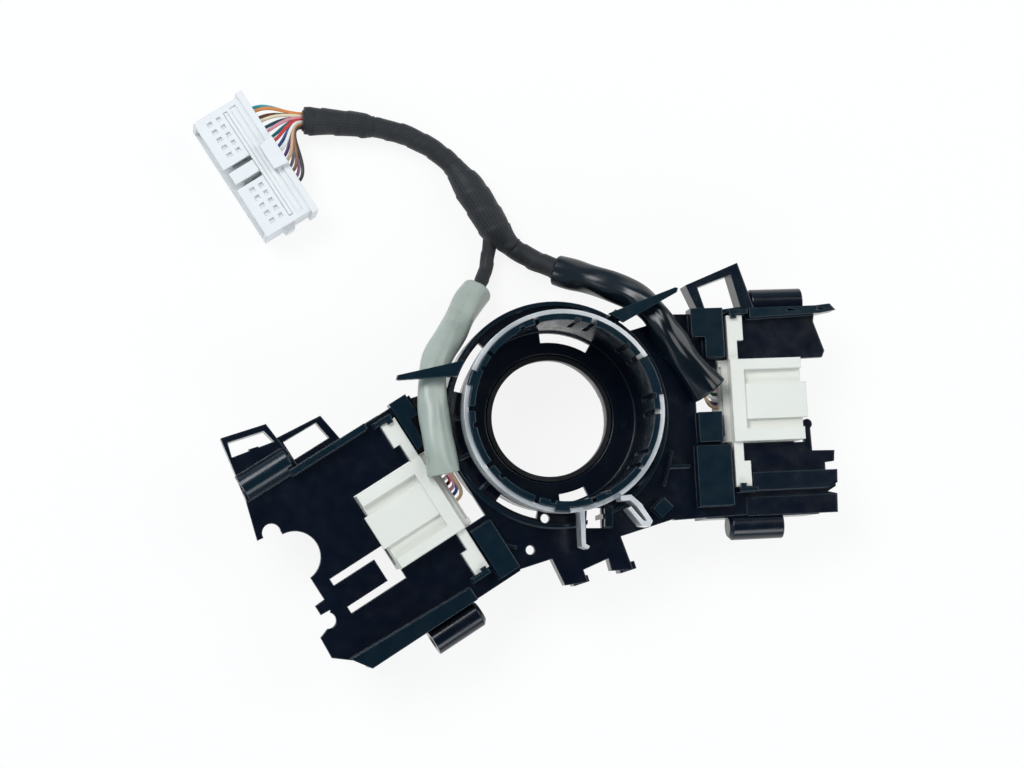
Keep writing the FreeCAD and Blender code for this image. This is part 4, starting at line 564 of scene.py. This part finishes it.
def curved(start, leave, end, arrive):
    """Line of a springy wire that leaves and arrives square."""
    reach = (end - start).length * SPRING
    one, two = start + leave * reach, end - arrive * reach
    out = []
    for number in range(WIRE_STEPS + 1):
        share = number / WIRE_STEPS
        rest = 1 - share
        out.append(start * rest ** 3 + one * (3 * rest ** 2 * share) + two * (3 * rest * share ** 2)
                   + end * share ** 3)
    return out


def wires(name, node, lines, colours):
    """One piece with all the wires of a fan, each in its colour."""
    parts = []
    for number, (line, colour) in enumerate(zip(lines, colours)):
        thin = tube_along(name + str(number), line, WIRE_SIDES,
                          lambda run, angle: WIRE_THICK / 2, insulation[colour])
        parts.append(thin)
    bpy.ops.object.select_all(action="DESELECT")
    for part in parts:
        part.select_set(True)
    bpy.context.view_layer.objects.active = parts[0]
    bpy.ops.object.join()
    bundle = parts[0]
    bundle.name = name
    bpy.ops.object.select_all(action="DESELECT")
    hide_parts(node)
    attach(bundle, "base")
    return bundle


DROOP = math.radians(15)
UPPER_ROW, ROW_DROP = 22.3, 2.3
for side, name, rows, along, centre, spread, colours in (
        (1, "right", BLACK_SLEEVE, 56.7, 5.3, 9.6,
         ("pale", "black", "pink", "green", "pale", "violet", "tan")),
        (-1, "left", GREY_SLEEVE, 43.8, 0.1, 12.0,
         ("black", "pale", "pale", "red", "pink", "blue", "tan"))):
    mouth, before = metres(rows)[-1], metres(rows)[-2]
    leave = (mouth - before).normalized()
    across = Vector((-leave.y, leave.x, 0)) * -side
    outward = Vector((side * math.cos(DROOP), -math.sin(DROOP), 0))
    lines = []
    for number in range(STALK_WIRES):
        share = (number - 3) / (STALK_WIRES - 1)
        place = centre - share * spread
        end = Vector((side * (along * math.cos(DROOP) + place * math.sin(DROOP)),
                      place * math.cos(DROOP) - along * math.sin(DROOP),
                      UPPER_ROW - ROW_DROP * (number % 2))) / 1000
        start = (mouth - leave * 0.0008 + across * (share * 0.0032)
                 + Vector((0, 0, 0.0009 - 0.0019 * (number % 2))))
        lines.append(curved(start, leave, end, outward))
    wires(name + "_leads", name + "_wires", lines, colours)

PLUG_TURN = Matrix.Rotation(math.radians(15.5), 3, "Z")
PLUG_SPOT = Vector((-70.2, 109.6, 0.2)) / 1000
PLUG_BACK, PLUG_MIDDLE, PLUG_LEVEL = 0.0105, 0.0034, 0.0065
FAN_WIDE, MOUTH_WIDE = 0.030, 0.005
mouth, before = metres(TRUNK)[-1], metres(TRUNK)[-2]
leave = (mouth - before).normalized()
across = Vector((-leave.y, leave.x, 0)).normalized()
rise = leave.cross(across)
arrive = PLUG_TURN @ Vector((-1, 0, 0))
lines = []
for number in range(PLUG_WIRES):
    share = (number - 7.5) / (PLUG_WIRES - 1)
    level = ROW_LEVEL if number % 2 else -ROW_LEVEL
    end = PLUG_SPOT + PLUG_TURN @ Vector((PLUG_BACK, PLUG_MIDDLE - share * FAN_WIDE,
                                          PLUG_LEVEL + level))
    start = mouth + leave * 0.00005 + across * (share * MOUTH_WIDE) + rise * (level * 0.6)
    lines.append(curved(start, leave, end, arrive))
wires("plug_leads", "plug_wires", lines, (
    "teal", "orange", "brown", "cream", "deep_teal", "pink", "teal", "red",
    "blue", "pale", "violet", "tan", "grey", "brown", "mauve", "black"))


# Floor, light and camera: a white table under soft lamps, seen from above as in the
# photograph, tilted and rolled a little.
BACKDROP_SHARE = 0.88
FOCAL_PIXELS, PICTURE_WIDE, SENSOR_WIDE = 2100, 1024, 36
TILT, HEADING, ROLL = math.radians(11.3), math.radians(34.0), math.radians(17.5)
SHIFT_ACROSS, SHIFT_UP = 0.01063, -0.01292
CAMERA_FAR, AIM_LEVEL = 0.7, 0.02
bpy.ops.mesh.primitive_plane_add(size=8, location=(0, 0, -0.0005))
floor = bpy.context.object
floor.name = "floor"
floor_white, nodes, links, shader = new_material("floor_white")
shader.inputs["Base Color"].default_value = (0.9, 0.9, 0.9, 1)
shader.inputs["Roughness"].default_value = 0.9
glow = nodes.new("ShaderNodeEmission")
glow.inputs["Color"].default_value = (1, 1, 1, 1)
glow.inputs["Strength"].default_value = 1.0
path = nodes.new("ShaderNodeLightPath")
rays = path.outputs["Is Camera Ray"]
for other in ("Is Glossy Ray", "Is Transmission Ray"):
    joined = nodes.new("ShaderNodeMath")
    joined.operation = "MAXIMUM"
    links.new(rays, joined.inputs[0])
    links.new(path.outputs[other], joined.inputs[1])
    rays = joined.outputs["Value"]
seen = nodes.new("ShaderNodeMath")
seen.operation = "MULTIPLY"
seen.inputs[1].default_value = BACKDROP_SHARE
links.new(rays, seen.inputs[0])
mixed = nodes.new("ShaderNodeMixShader")
links.new(seen.outputs["Value"], mixed.inputs["Fac"])
links.new(shader.outputs["BSDF"], mixed.inputs[1])
links.new(glow.outputs["Emission"], mixed.inputs[2])
links.new(mixed.outputs["Shader"], nodes["Material Output"].inputs["Surface"])
floor.data.materials.append(floor_white)

world = bpy.data.worlds.new("studio")
bpy.context.scene.world = world
world.use_nodes = True
nodes, links = world.node_tree.nodes, world.node_tree.links
sky_heading = nodes.new("ShaderNodeTexCoord")
parts = nodes.new("ShaderNodeSeparateXYZ")
links.new(sky_heading.outputs["Generated"], parts.inputs["Vector"])
links.new(ramp_of(nodes, links, parts.outputs["Z"],
                  [(0.0, (0.52, 0.76, 0.90)), (0.45, (0.42, 0.60, 0.74)), (0.85, (0.09, 0.13, 0.18))]),
          nodes["Background"].inputs["Color"])
nodes["Background"].inputs["Strength"].default_value = 0.6


def lamp(name, place, aim, wide, power, colour):
    """Soft box aimed at a point."""
    light = bpy.data.lights.new(name, "AREA")
    light.shape = "RECTANGLE"
    light.size, light.size_y = wide
    light.energy = power
    light.color = colour
    thing = bpy.data.objects.new(name, light)
    thing.location = place
    thing.rotation_euler = (Vector(aim) - Vector(place)).to_track_quat("-Z", "Y").to_euler()
    bpy.context.collection.objects.link(thing)


lamp("key", (-0.55, 0.75, 1.1), (0, 0, 0), (0.9, 0.6), 14, (0.97, 0.98, 1.0))
lamp("fill", (0.9, 0.1, 0.8), (0, 0, 0), (0.8, 0.8), 5.5, (1.0, 0.98, 0.95))
lamp("front", (-0.1, -1.0, 0.7), (0, 0, 0), (1.1, 0.5), 5.5, (0.97, 0.98, 1.0))

bpy.context.scene.view_settings.view_transform = "Standard"
turn = (Matrix.Rotation(TILT, 3, Vector((-math.sin(HEADING), math.cos(HEADING), 0)))
        @ Matrix.Rotation(ROLL, 3, "Z"))
offset = Vector((SHIFT_ACROSS, SHIFT_UP, -(CAMERA_FAR + AIM_LEVEL * math.cos(TILT))))
camera = bpy.data.objects.new("camera", bpy.data.cameras.new("camera"))
camera.data.sensor_width = SENSOR_WIDE
camera.data.lens = FOCAL_PIXELS * SENSOR_WIDE / PICTURE_WIDE
camera.data.clip_start = 0.01
camera.matrix_world = Matrix.Translation(turn.transposed() @ -offset) @ turn.transposed().to_4x4()
bpy.context.collection.objects.link(camera)
bpy.context.scene.camera = camera

bpy.ops.object.select_all(action="DESELECT")
